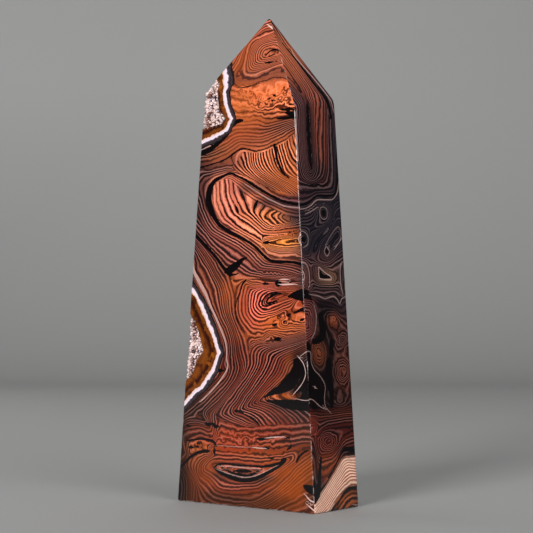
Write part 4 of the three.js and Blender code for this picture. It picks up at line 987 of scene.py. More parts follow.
def zone_colours(points, base, zones, depth):
    """Ground colour, line colour and line share: a blend of the zones, each weighted by a bell
    curve about its middle, with the base colours where no zone is near. The ground is deepened by
    a power and a factor and made warmer low down, the lines are deepened by a factor."""
    def row(ground, line, share):
        return np.concatenate([linear(ground), linear(line), [share]])
    total = np.full((len(points), 1), ZONE_FLOOR)
    blend = ZONE_FLOOR * row(*base)[None, :].repeat(len(points), 0)
    for across, up, reach_across, reach_up, *colours in zones:
        weight = np.exp(-0.5 * (((points[:, 0] - across) / reach_across) ** 2
                                + ((points[:, 1] - up) / reach_up) ** 2))[:, None] ** 1.2
        blend += weight * row(*colours)
        total += weight
    blend /= total
    blend[:, :3] = depth[1] * blend[:, :3] ** np.array(depth[0])
    low = np.clip((WARM_HEIGHTS[1] - points[:, 1]) / (WARM_HEIGHTS[1] - WARM_HEIGHTS[0]), 0, 1)
    blend[:, 1:3] *= 1 - low[:, None] * np.array(WARM_LOSS)
    blend[:, 3:6] *= LINE_DEPTH
    return blend


def moss(points, places):
    """How much the bands break up: the largest of the places' bell curves."""
    most = np.zeros(len(points))
    for across, up, reach_across, reach_up, amount in places:
        bell = np.exp(-0.5 * (((points[:, 0] - across) / reach_across) ** 2
                              + ((points[:, 1] - up) / reach_up) ** 2))
        most = np.maximum(most, amount * bell)
    return most


# Values on the stone

INSETS = (
    (FAN_OUTLINE, FAN_LINES), (WEDGE_OUTLINE, WEDGE_LINES),
    (LOOPS_OUTLINE, LOOPS_LINES), (ZIGZAG_OUTLINE, ZIGZAG_LINES),
)


def stroke_values(points, dark, pale):
    """The values that the shader needs of the dark and the pale strokes."""
    dark_edge, _, _, _ = stroke_field(points, [(1.0, numbers) for numbers in dark])
    _, across, half, strength = stroke_field(points, pale)
    return {"dark_edge": dark_edge, "pale_across": across, "pale_half": half, "pale_strength": strength}


def front_values(points):
    """All drawn values of the front face at the given places (x, height)."""
    field = BandField(FRONT_LINES)
    values = {"level": field.at(points), "slope": field.slope_at(points)}
    edges = np.array([outline_distance(points, pairs(outline)) for outline, _ in INSETS])
    nearest = edges.argmin(0)
    values["inset_edge"] = edges.min(0)
    inset_level = np.zeros(len(points))
    inset_slope = np.ones(len(points))
    for i, (_, lines) in enumerate(INSETS):
        chosen = (nearest == i) & (values["inset_edge"] < 3)
        if chosen.any():
            field = BandField(lines, 1.3, 0.03)
            inset_level[chosen] = field.at(points[chosen])
            inset_slope[chosen] = field.slope_at(points[chosen])
    values["inset_level"] = inset_level
    values["inset_slope"] = inset_slope
    values["moss"] = moss(points, FRONT_MOSS)
    values.update(stroke_values(points, FRONT_DARK, FRONT_PALE))
    return values, zone_colours(points, FRONT_BASE, FRONT_ZONES, FRONT_DEPTH)


def right_values(points):
    """All drawn values of the right face at the given places (y, height)."""
    field = BandField(RIGHT_LINES, 1.6)
    values = {"level": field.at(points), "slope": field.slope_at(points)}
    values["inset_edge"] = np.full(len(points), 8.0)
    values["inset_level"] = np.zeros(len(points))
    values["inset_slope"] = np.ones(len(points))
    values["moss"] = moss(points, RIGHT_MOSS)
    values.update(stroke_values(points, RIGHT_DARK, RIGHT_PALE))
    # The right face's colours carry painted shade and a painted blue-grey sheen.
    colours = zone_colours(points, RIGHT_BASE_WITH_SHADE, RIGHT_ZONES_WITH_SHADE_AND_SHEEN, RIGHT_DEPTH)
    foot = outline_distance(points, pairs(STRIPED_FOOT_OUTLINE))
    share = np.clip(0.5 - foot / 0.8, 0, 1)[:, None]
    striped = np.concatenate([linear(STRIPED_FOOT[0]), linear(STRIPED_FOOT[1]), [STRIPED_FOOT[2]]])
    return values, colours * (1 - share) + striped * share


def back_place(x, z):
    """Where the back face meets the bands drawn on the front: they lean and wave through the slab."""
    return 0.96 * x + 1.5 * np.sin(z / 19), z + 3 * np.sin(x / 11)


def drawn_values(points, face):
    """Drawn values at every vertex, face by face. The back shows the front's bands carried through
    the slab, the left face runs between the two, and the right face has its own drawing."""
    x, y, z = points.T
    back_x, back_z = back_place(x, z)
    edge = left_edge(z)
    through = np.clip((y - edge[:, 1]) / (SHOULDER_SIZE[1] + 1.2), 0, 1)
    edge_back_x, edge_back_z = back_place(edge[:, 0], z)
    left_x = edge[:, 0] * (1 - through) + edge_back_x * through + 7 * np.sin(math.pi * through)
    left_z = z * (1 - through) + edge_back_z * through + 1.5 * np.sin(2 * math.pi * through)
    places = np.select(
        [(face == 0)[:, None], (face == 2)[:, None], (face == 3)[:, None]],
        [np.stack([x, z], 1), np.stack([back_x, back_z], 1), np.stack([left_x, left_z], 1)],
        np.stack([y, z], 1))
    values = {}
    colours = np.zeros((len(points), 7))
    for function, chosen in ((front_values, face != 1), (right_values, face == 1)):
        found, colours[chosen] = function(places[chosen])
        for name, numbers in found.items():
            values.setdefault(name, np.zeros(len(points)))[chosen] = numbers
    return values, colours


def rind_distance(points, face):
    """Signed distance to the middle of the white band of the nearer hollow, over the front and left
    faces unrolled about their shared edge."""
    edge = left_edge(points[:, 2])
    across = np.where(face == 3, edge[:, 1] - points[:, 1], points[:, 0] - edge[:, 0])
    unrolled = np.stack([across, points[:, 2]], 1)
    distance = np.minimum(outline_distance(unrolled, UPPER_RIND), outline_distance(unrolled, LOWER_RIND))
    return np.where((face == 0) | (face == 3), distance, 8.0)


# Along this stretch of height the edges are hardly worn and get little of the painted edge highlight: it
# counts as further from the edge, and what is nearer to the edge than a breadth has little mirror shine
UNWORN_HEIGHTS = (62.0, 138.0)
UNWORN_FADE = 5.0
UNWORN_DISTANCE = 0.22
EDGE_BREADTH = 0.6
EDGE_DULLNESS = 0.85


def edge_wear(points):
    """Distance from the nearest sharp edge: how far the second nearest of the base and the four
    sides is, where a side is its upright face and its facet of the tip together. And the share
    of the mirror shine."""
    distance = points @ PLANE_NORMALS.T - PLANE_OFFSETS
    sides = np.concatenate([distance[:, :1], distance[:, 1:].reshape(-1, 4, 2).max(2)], 1)
    inside = np.minimum(points[:, 2] - UNWORN_HEIGHTS[0], UNWORN_HEIGHTS[1] - points[:, 2])
    unworn = np.clip(inside / UNWORN_FADE, 0, 1)
    nearest = -np.sort(sides, axis=1)[:, -2]
    dull = EDGE_DULLNESS * unworn * np.clip(1.2 - nearest / EDGE_BREADTH, 0, 1)
    return nearest + UNWORN_DISTANCE * unworn, 1 - dull


# Quartz crusts

BED_ROWS = 70
BED_STEPS = 18
POINT_SPACING = 1.12
POINT_RADIUS = (0.5, 0.85)
POINT_LENGTH = (2.6, 3.4)
POINT_DEPTH = (0.15, 1.25)
CRUST_SEED = 7


def crust_bed(profile):
    """The bed under the crystals as stacked closed loops. Each loop runs along the hollow's wall from
    the front face to the left face and back at an even depth below the two faces."""
    height = np.linspace(profile[0, 0] + 0.02, profile[-1, 0] - 0.02, BED_ROWS)[:, None]
    front, side, _ = reach_at(profile, height)
    reach_x = front + HOLLOW_MARGIN + 0.04
    reach_y = side + HOLLOW_MARGIN + 0.04
    depth = HOLLOW_MARGIN + BED_DEPTH
    lowest = np.arcsin(np.clip(depth / reach_y, 0, 1) ** (HOLLOW_ROUNDNESS / 2))
    highest = np.arccos(np.clip(depth / reach_x, 0, 1) ** (HOLLOW_ROUNDNESS / 2))
    middle = (lowest + highest) / 2
    lowest = np.minimum(lowest, middle - 0.01)
    highest = np.maximum(highest, middle + 0.01)
    share = np.linspace(0, 1, BED_STEPS)[None, :]
    turn = np.clip(lowest + (highest - lowest) * share, 0, math.pi / 2)
    wall_x, wall_y = superellipse(turn, reach_x, reach_y)
    corner_x = np.minimum(depth, wall_x[:, -1:] * 0.5 + wall_x[:, :1] * 0.5) * 0.98
    corner_y = np.minimum(depth, wall_y[:, -1:] * 0.5 + wall_y[:, :1] * 0.5) * 0.98
    back = share[:, 1:-1]
    bend = np.abs(2 * back - 1) ** 0.8 * np.sign(back - 0.5)
    toward_left = np.maximum(-bend, 0)
    toward_front = np.maximum(bend, 0)
    inner_x = corner_x + (wall_x[:, -1:] - corner_x) * toward_left + (wall_x[:, :1] - corner_x) * toward_front
    inner_y = corner_y + (wall_y[:, -1:] - corner_y) * toward_left + (wall_y[:, :1] - corner_y) * toward_front
    x = np.concatenate([wall_x, inner_x], 1)
    y = np.concatenate([wall_y, inner_y], 1)
    edge = left_edge(height[:, 0])[:, None, :]
    points = np.stack([edge[..., 0] - HOLLOW_MARGIN + x, edge[..., 1] - HOLLOW_MARGIN + y,
                       np.broadcast_to(height, x.shape)], -1)
    rows, columns = x.shape
    poles = points[[0, -1]].mean(1)
    quads, fans = closed_grid(rows, columns, (rows * columns, rows * columns + 1))
    return np.concatenate([points.reshape(-1, 3), poles]), quads, fans


def crystal_places(profile, random):
    """Tips and directions of the crystals: a shifted grid over the hollow on the front and left
    faces, and a row that looks out along the edge, all a little below the polished faces."""
    tips, directions = [], []
    height, across = np.meshgrid(np.arange(profile[0, 0], profile[-1, 0], POINT_SPACING * 0.87),
                                 np.arange(0.2, 13, POINT_SPACING))
    across = across + POINT_SPACING / 2 * (np.arange(height.shape[1]) % 2)[None, :]
    height = height.ravel() + random.uniform(-0.3, 0.3, height.size)
    across = across.ravel() + random.uniform(-0.3, 0.3, across.size)
    depth = random.uniform(*POINT_DEPTH, height.size)
    edge = left_edge(height)
    front, side, inside = reach_at(profile, height)
    tip_slope = np.where(height > CORNER_HEIGHTS[0], 0.35, 0.0)
    for on_left in (False, True):
        reach_along, reach_down = (side, front) if on_left else (front, side)
        room = (np.maximum(across + HOLLOW_MARGIN, 0) / (reach_along + HOLLOW_MARGIN)) ** HOLLOW_ROUNDNESS \
            + ((depth + HOLLOW_MARGIN) / (reach_down + HOLLOW_MARGIN)) ** HOLLOW_ROUNDNESS
        kept = inside & (room < 0.93) & (across > depth)
        x, y = (depth, across) if on_left else (across, depth)
        place = np.stack([edge[:, 0] + x, edge[:, 1] + y, height], 1)[kept]
        outward = np.zeros((len(place), 3))
        outward[:, 0 if on_left else 1] = -1.0
        outward[:, 2] = tip_slope[kept]
        tips.append(place)
        directions.append(outward)
    rim_height = np.arange(profile[0, 0] + 0.8, profile[-1, 0] - 0.8, POINT_SPACING * 0.8)
    rim_depth = random.uniform(0.35, 1.1, len(rim_height))
    front, side, _ = reach_at(profile, rim_height)
    kept = (np.minimum(front, side) > rim_depth + 0.5)
    rim = left_edge(rim_height) + np.array([1.0, 1.0, 0.0]) * (rim_depth * 0.7)[:, None]
    tips.append(rim[kept])
    directions.append(np.broadcast_to(np.array([-0.7, -0.7, 0.0]), (kept.sum(), 3)))
    return np.concatenate(tips), np.concatenate(directions)


def crystal_points(tips, directions, random):
    """Six-sided quartz points: a ring at the root, a ring below the tip, the tip and a pole at the
    root. Each leans from its direction, and its six tip faces reach down unevenly."""
    count = len(tips)
    axis = directions + random.uniform(-0.42, 0.42, (count, 3))
    axis = axis / np.linalg.norm(axis, axis=1, keepdims=True)
    helper = np.where(np.abs(axis[:, 2:3]) > 0.8, [[1.0, 0.0, 0.0]], [[0.0, 0.0, 1.0]])
    first = np.cross(axis, helper)
    first = first / np.linalg.norm(first, axis=1, keepdims=True)
    second = np.cross(axis, first)
    radius = random.uniform(*POINT_RADIUS, count)[:, None, None]
    length = random.uniform(*POINT_LENGTH, count)[:, None, None]
    turn = random.uniform(0, math.pi / 3, count)[:, None] + np.arange(6)[None, :] * math.pi / 3
    ring = np.cos(turn)[..., None] * first[:, None, :] + np.sin(turn)[..., None] * second[:, None, :]
    ring = ring * radius * random.uniform(0.85, 1.1, (count, 6, 1))
    drop = radius * random.uniform(0.9, 1.5, (count, 6, 1))
    tip = tips[:, None, :]
    axis = axis[:, None, :]
    foot = tip - axis * length
    vertices = np.concatenate([foot + ring, tip - axis * drop + ring, tip, foot], 1)
    around = np.arange(6)
    after = (around + 1) % 6
    sides = np.stack([around, after, after + 6, around + 6], 1)
    caps = np.concatenate([np.stack([around + 6, after + 6, np.full(6, 12)], 1),
                           np.stack([after, around, np.full(6, 13)], 1)])
    shift = (np.arange(count) * 14)[:, None, None]
    return vertices.reshape(-1, 3), (sides + shift).reshape(-1, 4), (caps + shift).reshape(-1, 3)


def crust_mesh(profile):
    """Bed and crystals of one crust: vertices, face groups, and a tint for each crystal."""
    random = np.random.default_rng(CRUST_SEED)
    bed, bed_quads, bed_fans = crust_bed(profile)
    tips, directions = crystal_places(profile, random)
    crystals, sides, caps = crystal_points(tips, directions, random)
    tint = np.concatenate([np.zeros(len(bed)), random.uniform(0, 1, len(tips)).repeat(14)])
    root = np.concatenate([np.zeros(len(bed)), np.tile([0.0] * 6 + [0.8] * 6 + [1.0, 0.0], len(tips))])
    groups = [bed_quads, bed_fans, sides + len(bed), caps + len(bed)]
    return np.concatenate([bed, crystals]), groups, tint, root
# Materials

AGATE_IOR = 1.54
QUARTZ_IOR = 1.55
# Mirror shine, where 0.5 is all that the IOR gives: less here, for blacks as deep as the photo's
AGATE_SHINE = 0.3
ATTRIBUTE = "ShaderNodeAttribute"
MATH = "ShaderNodeMath"
MIX = "ShaderNodeMix"
NOISE = "ShaderNodeTexNoise"
RANGE = "ShaderNodeMapRange"
RAMP = "ShaderNodeValToRGB"
WHITE = "ShaderNodeTexWhiteNoise"


def add_node(tree, kind, inputs=(), out=0, **settings):
    """Adds a node with its settings and gives back one output socket. The inputs are a list in
    socket order, or a dict by socket name or number; each is a value or a link from a socket."""
    node = tree.nodes.new(kind)
    for name, value in settings.items():
        setattr(node, name, value)
    pairs_in = inputs.items() if isinstance(inputs, dict) else enumerate(inputs)
    for name, value in pairs_in:
        if isinstance(value, bpy.types.NodeSocket):
            tree.links.new(value, node.inputs[name])
        else:
            node.inputs[name].default_value = value
    return node.outputs[out] if node.outputs else None


def opaque(colour):
    """A hex colour as a linear RGBA tuple."""
    return (*linear(colour), 1.0)


def empty_tree(name):
    """A new material and its cleared node tree."""
    material = bpy.data.materials.new(name)
    material.use_nodes = True
    material.node_tree.nodes.clear()
    return material, material.node_tree


def fill_ramp(socket, stops, limits=(0.0, 1.0)):
    """Sets the stops of the colour ramp behind a socket from distances and hex colours."""
    elements = socket.node.color_ramp.elements
    low, high = limits
    while len(elements) < len(stops):
        elements.new(1.0)
    for element, (distance, colour) in zip(elements, stops):
        element.position = (distance - low) / (high - low)
        element.color = opaque(colour)


# Rind across its thickness: distance outwards from the middle of the white band, and colour
RIND_LIMITS = (-8.0, 4.0)
RIND_BANDS = (
    (-8.0, "#5a2e0e"), (-6.8, "#6e360e"), (-5.4, "#64340e"), (-4.6, "#4a200a"), (-3.8, "#240a06"),
    (-3.1, "#2e1006"), (-2.6, "#5a2c0c"), (-1.9, "#6a360e"), (-1.35, "#4a220e"), (-1.1, "#b88658"),
    (-0.75, "#c4b2bc"), (0.45, "#cebec8"), (0.68, "#4c4044"), (1.4, "#201a1c"), (1.8, "#3a3034"),
    (2.05, "#1c1618"), (2.6, "#161012"), (4.0, "#2a1c18"),
)
BLACK_BAND = "#080405"
WHITE_BAND = "#d8b4ac"


def agate_material():
    """Banded agate, sawn and polished: glassy, with sharp bands that waver a little and differ in
    width, black and white bands where the drawings put them, and brown rinds round the hollows."""
    material, tree = empty_tree("agate_polished")
    place = add_node(tree, "ShaderNodeTexCoord", out="Object")
    read = {}
    for name in ("level", "slope", "inset_edge", "inset_level", "inset_slope", "moss", "line_share",
                 "dark_edge", "pale_across", "pale_half", "pale_strength", "rind", "edge_distance",
                 "edge_shine"):
        read[name] = add_node(tree, ATTRIBUTE, out="Fac", attribute_name=name)
    ground = add_node(tree, ATTRIBUTE, out="Color", attribute_name="ground")
    line_colour = add_node(tree, ATTRIBUTE, out="Color", attribute_name="line")

    # Wavers about zero, by their size in millimetres and their detail
    waver = {}
    for name, size, detail in (("slow", 7.0, 1.0), ("cloud", 4.0, 4.0), ("broken", 2.6, 1.5),
                               ("fine", 1.5, 2.0)):
        noise = add_node(tree, NOISE, {"Vector": place, "Scale": 1 / (size * MM), "Detail": detail})
        waver[name] = add_node(tree, MATH, [noise, 0.5], operation="SUBTRACT")

    # Band number, wavering slowly and finely, and most of all in the mossy places
    inset = add_node(tree, RANGE, [read["inset_edge"], 0.02, -0.02])
    level = add_node(tree, MIX, {0: inset, 2: read["level"], 3: read["inset_level"]})
    slope = add_node(tree, MIX, {0: inset, 2: read["slope"], 3: read["inset_slope"]})
    mossy = add_node(tree, MATH, [read["moss"], 2.2], operation="MULTIPLY")
    level = add_node(tree, MATH, [waver["broken"], mossy, level], operation="MULTIPLY_ADD")
    level = add_node(tree, MATH, [waver["slow"], 0.9, level], operation="MULTIPLY_ADD")
    level = add_node(tree, MATH, [waver["fine"], 0.35, level], operation="MULTIPLY_ADD")
    from_line = add_node(tree, MATH, [level, 0.5], operation="PINGPONG")
    nearest = add_node(tree, MATH, [level], operation="ROUND")
    chance = add_node(tree, WHITE, {"W": nearest}, noise_dimensions="1D")
    between = add_node(tree, MATH, [level], operation="FLOOR")
    other_chance = add_node(tree, WHITE, {"W": between}, noise_dimensions="1D")

    # Each dark line takes its own part of the zone's share of dark, and stays narrow where the
    # bands are far apart; lines are fainter where the zone has few of them
    part = add_node(tree, MATH, [chance, 0.275, 0.4], operation="MULTIPLY_ADD")
    width = add_node(tree, MATH, [read["line_share"], part], operation="MULTIPLY")
    widest = add_node(tree, MATH, [chance, 0.3, 0.3], operation="MULTIPLY_ADD")
    widest = add_node(tree, MATH, [widest, slope], operation="MULTIPLY")
    width = add_node(tree, MATH, [width, widest], operation="MINIMUM")
    inside = add_node(tree, MATH, [width, from_line], operation="SUBTRACT")
    inside = add_node(tree, MATH, [inside, slope], operation="DIVIDE")
    line = add_node(tree, RANGE, [inside, -0.07, 0.07], interpolation_type="SMOOTHSTEP")
    firm = add_node(tree, MATH, [chance, 0.16, 0.84], operation="MULTIPLY_ADD")
    line = add_node(tree, MATH, [line, firm], operation="MULTIPLY")
    faint = add_node(tree, RANGE, [read["line_share"], 0.12, 0.32, 0.25, 1.0])
    line = add_node(tree, MATH, [line, faint], operation="MULTIPLY")

    # The ground between the lines differs from band to band, is clouded, and brightens away from
    # the lines; three fine threads run in each band
    shade = add_node(tree, NOISE, {"W": level, "Scale": 0.9, "Detail": 3.0}, noise_dimensions="1D")
    bright = add_node(tree, MATH, [waver["cloud"], 0.5, 0.14], operation="MULTIPLY_ADD")
    bright = add_node(tree, MATH, [from_line, 0.6, bright], operation="MULTIPLY_ADD")
    bright = add_node(tree, MATH, [shade, 1.0, bright], operation="MULTIPLY_ADD")
    thread = add_node(tree, MATH, [level, 3.0], operation="MULTIPLY")
    thread = add_node(tree, MATH, [thread, 0.5], operation="PINGPONG")
    thread = add_node(tree, RANGE, [thread, 0.26, 0.06], interpolation_type="SMOOTHSTEP")
    bright = add_node(tree, MATH, [thread, -0.14, bright], operation="MULTIPLY_ADD")
    banded = add_node(tree, "ShaderNodeVectorMath", {0: ground, "Scale": bright}, operation="SCALE")

    # Some bands are pale along their middle
    paler = add_node(tree, "ShaderNodeVectorMath", [ground, (1.5, 1.5, 1.5), (0.13, 0.085, 0.075)],
                     operation="MULTIPLY_ADD")
    middle = add_node(tree, RANGE, [from_line, 0.26, 0.46], interpolation_type="SMOOTHSTEP")
    glow = add_node(tree, MATH, [middle, other_chance], operation="MULTIPLY")
    glow = add_node(tree, MATH, [glow, read["line_share"]], operation="MULTIPLY")
    glow = add_node(tree, MATH, [glow, 1.5], operation="MULTIPLY", use_clamp=True)
    banded = add_node(tree, MIX, {0: glow, 6: banded, 7: paler}, out=2, data_type="RGBA")
    banded = add_node(tree, MIX, {0: line, 6: banded, 7: line_colour}, out=2, data_type="RGBA")

    # Drawn black and white bands
    edge = add_node(tree, MATH, [waver["fine"], 0.5, read["dark_edge"]], operation="MULTIPLY_ADD")
    black = add_node(tree, RANGE, [edge, 0.07, -0.07], interpolation_type="SMOOTHSTEP")
    banded = add_node(tree, MIX, {0: black, 6: banded, 7: opaque(BLACK_BAND)}, out=2, data_type="RGBA")
    half = add_node(tree, MATH, [waver["fine"], 0.2, read["pale_half"]], operation="MULTIPLY_ADD")
    across = add_node(tree, MATH, [read["pale_across"]], operation="ABSOLUTE")
    inside = add_node(tree, MATH, [half, across], operation="SUBTRACT")
    white = add_node(tree, RANGE, [inside, -0.07, 0.07], interpolation_type="SMOOTHSTEP")
    drawn = add_node(tree, MATH, [read["pale_half"], 0.0], operation="GREATER_THAN")
    white = add_node(tree, MATH, [white, drawn], operation="MULTIPLY")
    white = add_node(tree, MATH, [white, read["pale_strength"]], operation="MULTIPLY")
    banded = add_node(tree, MIX, {0: white, 6: banded, 7: opaque(WHITE_BAND)}, out=2, data_type="RGBA")

    # Rinds: bands along the hollows, with amber clouds and dark stains inside the white band
    rind = read["rind"]
    for name, amount in (("fine", 1.1), ("broken", 0.9), ("slow", 1.2)):
        rind = add_node(tree, MATH, [waver[name], amount, rind], operation="MULTIPLY_ADD")
    share = add_node(tree, RANGE, [rind, *RIND_LIMITS])
    ramp = add_node(tree, RAMP, [share])
    fill_ramp(ramp, RIND_BANDS, RIND_LIMITS)
    inner = add_node(tree, RANGE, [rind, -1.0, -1.6])
    for size, low, high, stain in ((5.0, 0.5, 0.62, "#2a0e06"), (3.2, 0.58, 0.7, "#86450e")):
        cloud = add_node(tree, NOISE, {"Vector": place, "Scale": 1 / (size * MM), "Detail": 3.0})
        cloud = add_node(tree, RANGE, [cloud, low, high, 0.0, 0.8], interpolation_type="SMOOTHSTEP")
        cloud = add_node(tree, MATH, [cloud, inner], operation="MULTIPLY")
        ramp = add_node(tree, MIX, {0: cloud, 6: ramp, 7: opaque(stain)}, out=2, data_type="RGBA")
    inside = add_node(tree, RANGE, [rind, 2.82, 2.58], interpolation_type="SMOOTHSTEP")
    banded = add_node(tree, MIX, {0: inside, 6: banded, 7: ramp}, out=2, data_type="RGBA")

    # Worn and chipped edges: a pale colour along them, partly wear and partly a painted highlight, and a
    # rougher polish
    nick = add_node(tree, NOISE, {"Vector": place, "Scale": 1 / (2.2 * MM), "Detail": 3.0})
    wear_and_highlight = add_node(tree, MATH, [waver["slow"], 0.7, nick], operation="MULTIPLY_ADD")
    wear_and_highlight = add_node(tree, MATH, [wear_and_highlight, read["edge_distance"]], operation="SUBTRACT")
    wear_and_highlight = add_node(tree, RANGE, [wear_and_highlight, 0.18, 0.34], interpolation_type="SMOOTHSTEP")
    pale = add_node(tree, MATH, [wear_and_highlight, 0.6], operation="MULTIPLY")
    # The pale edge colour is partly wear and partly a painted highlight.
    banded = add_node(tree, MIX, {0: pale, 6: banded, 7: opaque("#a89490")}, out=2, data_type="RGBA")
    roughness = add_node(tree, RANGE, [nick, 0.0, 1.0, 0.07, 0.13])
    roughness = add_node(tree, MATH, [wear_and_highlight, 0.25, roughness], operation="MULTIPLY_ADD")
    shine = add_node(tree, MATH, [read["edge_shine"], AGATE_SHINE], operation="MULTIPLY")
    skin = add_node(tree, "ShaderNodeBump", {"Height": waver["slow"], "Distance": 0.02 * MM, "Strength": 0.5})
    shader = add_node(tree, "ShaderNodeBsdfPrincipled", {
        "Base Color": banded, "Roughness": roughness, "IOR": AGATE_IOR, "Normal": skin,
        "Specular IOR Level": shine})
    add_node(tree, "ShaderNodeOutputMaterial", [shader])
    return material


def quartz_material():
    """Drusy quartz, natural crystal faces: pinkish white points with speckles, purple-grey painted shade in
    patches, and painted shade low between them that darkens their roots towards brown."""
    material, tree = empty_tree("quartz_crystal_druse")
    place = add_node(tree, "ShaderNodeTexCoord", out="Object")
    tint = add_node(tree, ATTRIBUTE, out="Fac", attribute_name="tint")
    root = add_node(tree, ATTRIBUTE, out="Fac", attribute_name="root")
    # Purple-grey painted shade fills the middles of cells about 2.4 mm across, in patches about 5 mm across
    cells = add_node(tree, "ShaderNodeTexVoronoi", {"Vector": place, "Scale": 1 / (2.4 * MM)},
                     out="Distance", feature="DISTANCE_TO_EDGE")
    middle = add_node(tree, RANGE, [cells, 0.12, 0.34], interpolation_type="SMOOTHSTEP")
    patch = add_node(tree, NOISE, {"Vector": place, "Scale": 1 / (5.0 * MM), "Detail": 1.0})
    patch = add_node(tree, RANGE, [patch, 0.34, 0.52], interpolation_type="SMOOTHSTEP")
    purple_grey_shade = add_node(tree, MATH, [middle, patch], operation="MULTIPLY")
    body = add_node(tree, RAMP, [purple_grey_shade])
    fill_ramp(body, ((0.0, "#dccac6"), (0.3, "#c2b2b8"), (0.6, "#8a7c8a"), (1.0, "#5a4e5e")))
    point = add_node(tree, RAMP, [tint])
    fill_ramp(point, ((0.0, "#b0a0a2"), (0.2, "#e2d2cc"), (0.5, "#f6eeea"), (1.0, "#f6eae8")))
    body = add_node(tree, MIX, {0: 0.85, 6: body, 7: point}, out=2, data_type="RGBA", blend_type="MULTIPLY")
    # The roots, low between the crystals, are darkened towards brown: painted shade.
    low = add_node(tree, RANGE, [root, 0.3, 0.7, 0.85, 0.0])
    body = add_node(tree, MIX, {0: low, 6: body, 7: opaque("#82482a")}, out=2,
                    data_type="RGBA", blend_type="MULTIPLY")
    shader = add_node(tree, "ShaderNodeBsdfPrincipled", {
        "Base Color": body, "Roughness": 0.16, "IOR": QUARTZ_IOR})
    add_node(tree, "ShaderNodeOutputMaterial", [shader])
    return material


def board_material(colour):
    """Matt painted board."""
    material, tree = empty_tree("matt_painted_board")
    shader = add_node(tree, "ShaderNodeBsdfPrincipled", {"Base Color": colour, "Roughness": 0.6})
    add_node(tree, "ShaderNodeOutputMaterial", [shader])
    return material


# Settings, operators and panel

class AgateTowerSettings(bpy.types.PropertyGroup):
    """Sizes and colours that a user would change."""
    camera_distance: bpy.props.FloatProperty(
        name="Camera distance", description="How far the camera stands from the tower's axis",
        default=0.5734, unit="LENGTH")
    camera_azimuth: bpy.props.FloatProperty(
        name="Camera azimuth", description="Turn of the camera from the front face towards the right face",
        default=math.radians(38.0), subtype="ANGLE")
    camera_height: bpy.props.FloatProperty(
        name="Camera height", description="Height of the camera above the floor",
        default=0.0712, unit="LENGTH")
    camera_tilt: bpy.props.FloatProperty(
        name="Camera tilt", description="Pitch of the camera from straight down",
        default=math.radians(92.535), subtype="ANGLE")
    lens: bpy.props.FloatProperty(name="Lens", description="Focal length in millimetres", default=94.56)
    floor_size: bpy.props.FloatProperty(
        name="Floor size", description="Width of the floor", default=4.0, unit="LENGTH")
    floor_colour: bpy.props.FloatVectorProperty(
        name="Floor colour", description="Linear colour of the floor",
        default=(0.3, 0.3, 0.295), subtype="COLOR")
    backdrop_colour: bpy.props.FloatVectorProperty(
        name="Backdrop colour", description="Linear colour of the light all round",
        default=(0.06, 0.06, 0.064), subtype="COLOR")


def sweep_grid(width, turned):
    """A floor that bends up into a wall behind the tower, square to the camera: a straight line, a
    quarter circle and a straight line, carried sideways."""
    radius = width * 0.12
    reach = width * 0.3
    turn = np.linspace(0, math.pi / 2, 17)
    y = np.concatenate([[-width / 2], reach + radius * np.sin(turn), [reach + radius]])
    z = np.concatenate([[0.0], radius * (1 - np.cos(turn)), [width / 2]])
    x = np.array([-width / 2, width / 2])[:, None]
    rows = np.stack([x * math.cos(turned) - y * math.sin(turned),
                     x * math.sin(turned) + y * math.cos(turned), z + 0 * x], -1)
    count = len(y)
    first = np.arange(count - 1)
    return rows.reshape(-1, 3), np.stack([first, first + count, first + count + 1, first + 1], 1)


def dress(piece, material, node):
    """Gives a piece its material and its body, and hides the solid that it stands for."""
    piece.data.materials.append(material)
    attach(piece, "root")
    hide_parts(node)


class AGATE_OT_stone(bpy.types.Operator):
    """Builds the polished stone with its bands"""
    bl_idname = "agate.stone"
    bl_label = "Stone"

    def execute(self, context):
        points, flat, face, quads, fans = stone_grid()
        piece = mesh_object("polished_agate", points, (quads, fans))
        if len(piece.data.vertices) != len(points):
            raise RuntimeError("the stone's mesh lost vertices")
        values, colours = drawn_values(flat, face)
        for name, numbers in values.items():
            add_values(piece, name, numbers)
        add_values(piece, "rind", rind_distance(flat, face))
        distance, shine = edge_wear(flat)
        add_values(piece, "edge_distance", distance)
        add_values(piece, "edge_shine", shine)
        add_colours(piece, "ground", colours[:, :3])
        add_colours(piece, "line", colours[:, 3:6])
        add_values(piece, "line_share", colours[:, 6])
        dress(piece, agate_material(), "agate_stone")
        return {"FINISHED"}


class AGATE_OT_crusts(bpy.types.Operator):
    """Builds the quartz crusts of both hollows"""
    bl_idname = "agate.crusts"
    bl_label = "Crystal crusts"

    def execute(self, context):
        material = quartz_material()
        for place, profile in (("upper", UPPER_HOLLOW), ("lower", LOWER_HOLLOW)):
            points, groups, tint, root = crust_mesh(profile)
            piece = mesh_object(place + "_quartz_druse", points, groups)
            add_values(piece, "tint", tint)
            add_values(piece, "root", root)
            dress(piece, material, place + "_crystal_crust")
        return {"FINISHED"}


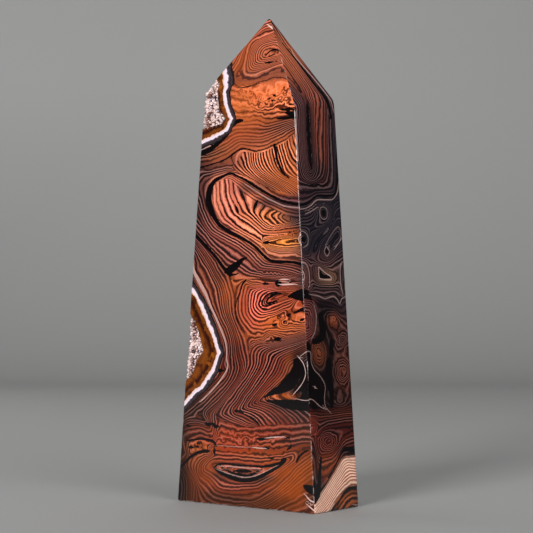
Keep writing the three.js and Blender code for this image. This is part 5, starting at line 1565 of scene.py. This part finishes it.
class AGATE_OT_stage(bpy.types.Operator):
    """Builds the floor, the lights and the camera"""
    bl_idname = "agate.stage"
    bl_label = "Stage"

    def execute(self, context):
        settings = context.scene.agate_tower
        points, quads = sweep_grid(settings.floor_size / MM, settings.camera_azimuth)
        floor = mesh_object("floor_sweep", points, (quads,))
        floor.data.materials.append(board_material((*settings.floor_colour, 1.0)))
        world = bpy.data.worlds.new("studio")
        world.use_nodes = True
        world.node_tree.nodes["Background"].inputs["Color"].default_value = (*settings.backdrop_colour, 1.0)
        context.scene.world = world
        for name, place, size, power in (
                ("key", (0.3, -2.9, 0.85), 1.1, 122.0),
                ("fill", (-1.1, -0.1, 0.5), 0.7, 4.0),
                ("side", (1.3, -0.35, 0.8), 0.8, 12.5),
                ("wall", (-0.2, 0.7, 1.6), 1.2, 5.0)):
            light = bpy.data.lights.new(name, "AREA")
            light.size = size
            light.energy = power
            lamp = bpy.data.objects.new(name, light)
            lamp.location = place
            toward = Vector((0, 0, 0.1)) - Vector(place)
            lamp.rotation_euler = toward.to_track_quat("-Z", "Y").to_euler()
            context.scene.collection.objects.link(lamp)
        camera = bpy.data.objects.new("camera", bpy.data.cameras.new("camera"))
        turn = settings.camera_azimuth
        away = settings.camera_distance
        camera.location = (away * math.sin(turn), -away * math.cos(turn), settings.camera_height)
        camera.rotation_euler = (settings.camera_tilt, 0, turn)
        camera.data.lens = settings.lens
        camera.data.sensor_width = 36.0
        camera.data.clip_start = 0.01
        context.scene.collection.objects.link(camera)
        context.scene.camera = camera
        context.scene.view_settings.view_transform = "Standard"
        return {"FINISHED"}


class AGATE_PT_panel(bpy.types.Panel):
    """Lists the pieces and the settings"""
    bl_idname = "AGATE_PT_panel"
    bl_label = "Banded agate tower"
    bl_space_type = "VIEW_3D"
    bl_region_type = "UI"
    bl_category = "Agate"

    def draw(self, context):
        for operator in OPERATORS:
            self.layout.operator(operator.bl_idname)
        settings = context.scene.agate_tower
        for name in AgateTowerSettings.__annotations__:
            self.layout.prop(settings, name)


OPERATORS = (AGATE_OT_stone, AGATE_OT_crusts, AGATE_OT_stage)
CLASSES = (AgateTowerSettings, *OPERATORS, AGATE_PT_panel)


def register():
    for item in CLASSES:
        bpy.utils.register_class(item)
    bpy.types.Scene.agate_tower = bpy.props.PointerProperty(type=AgateTowerSettings)


def unregister():
    del bpy.types.Scene.agate_tower
    for item in reversed(CLASSES):
        bpy.utils.unregister_class(item)


def main():
    register()
    bpy.ops.agate.stone()
    bpy.ops.agate.crusts()
    bpy.ops.agate.stage()


if __name__ == "__main__":
    main()
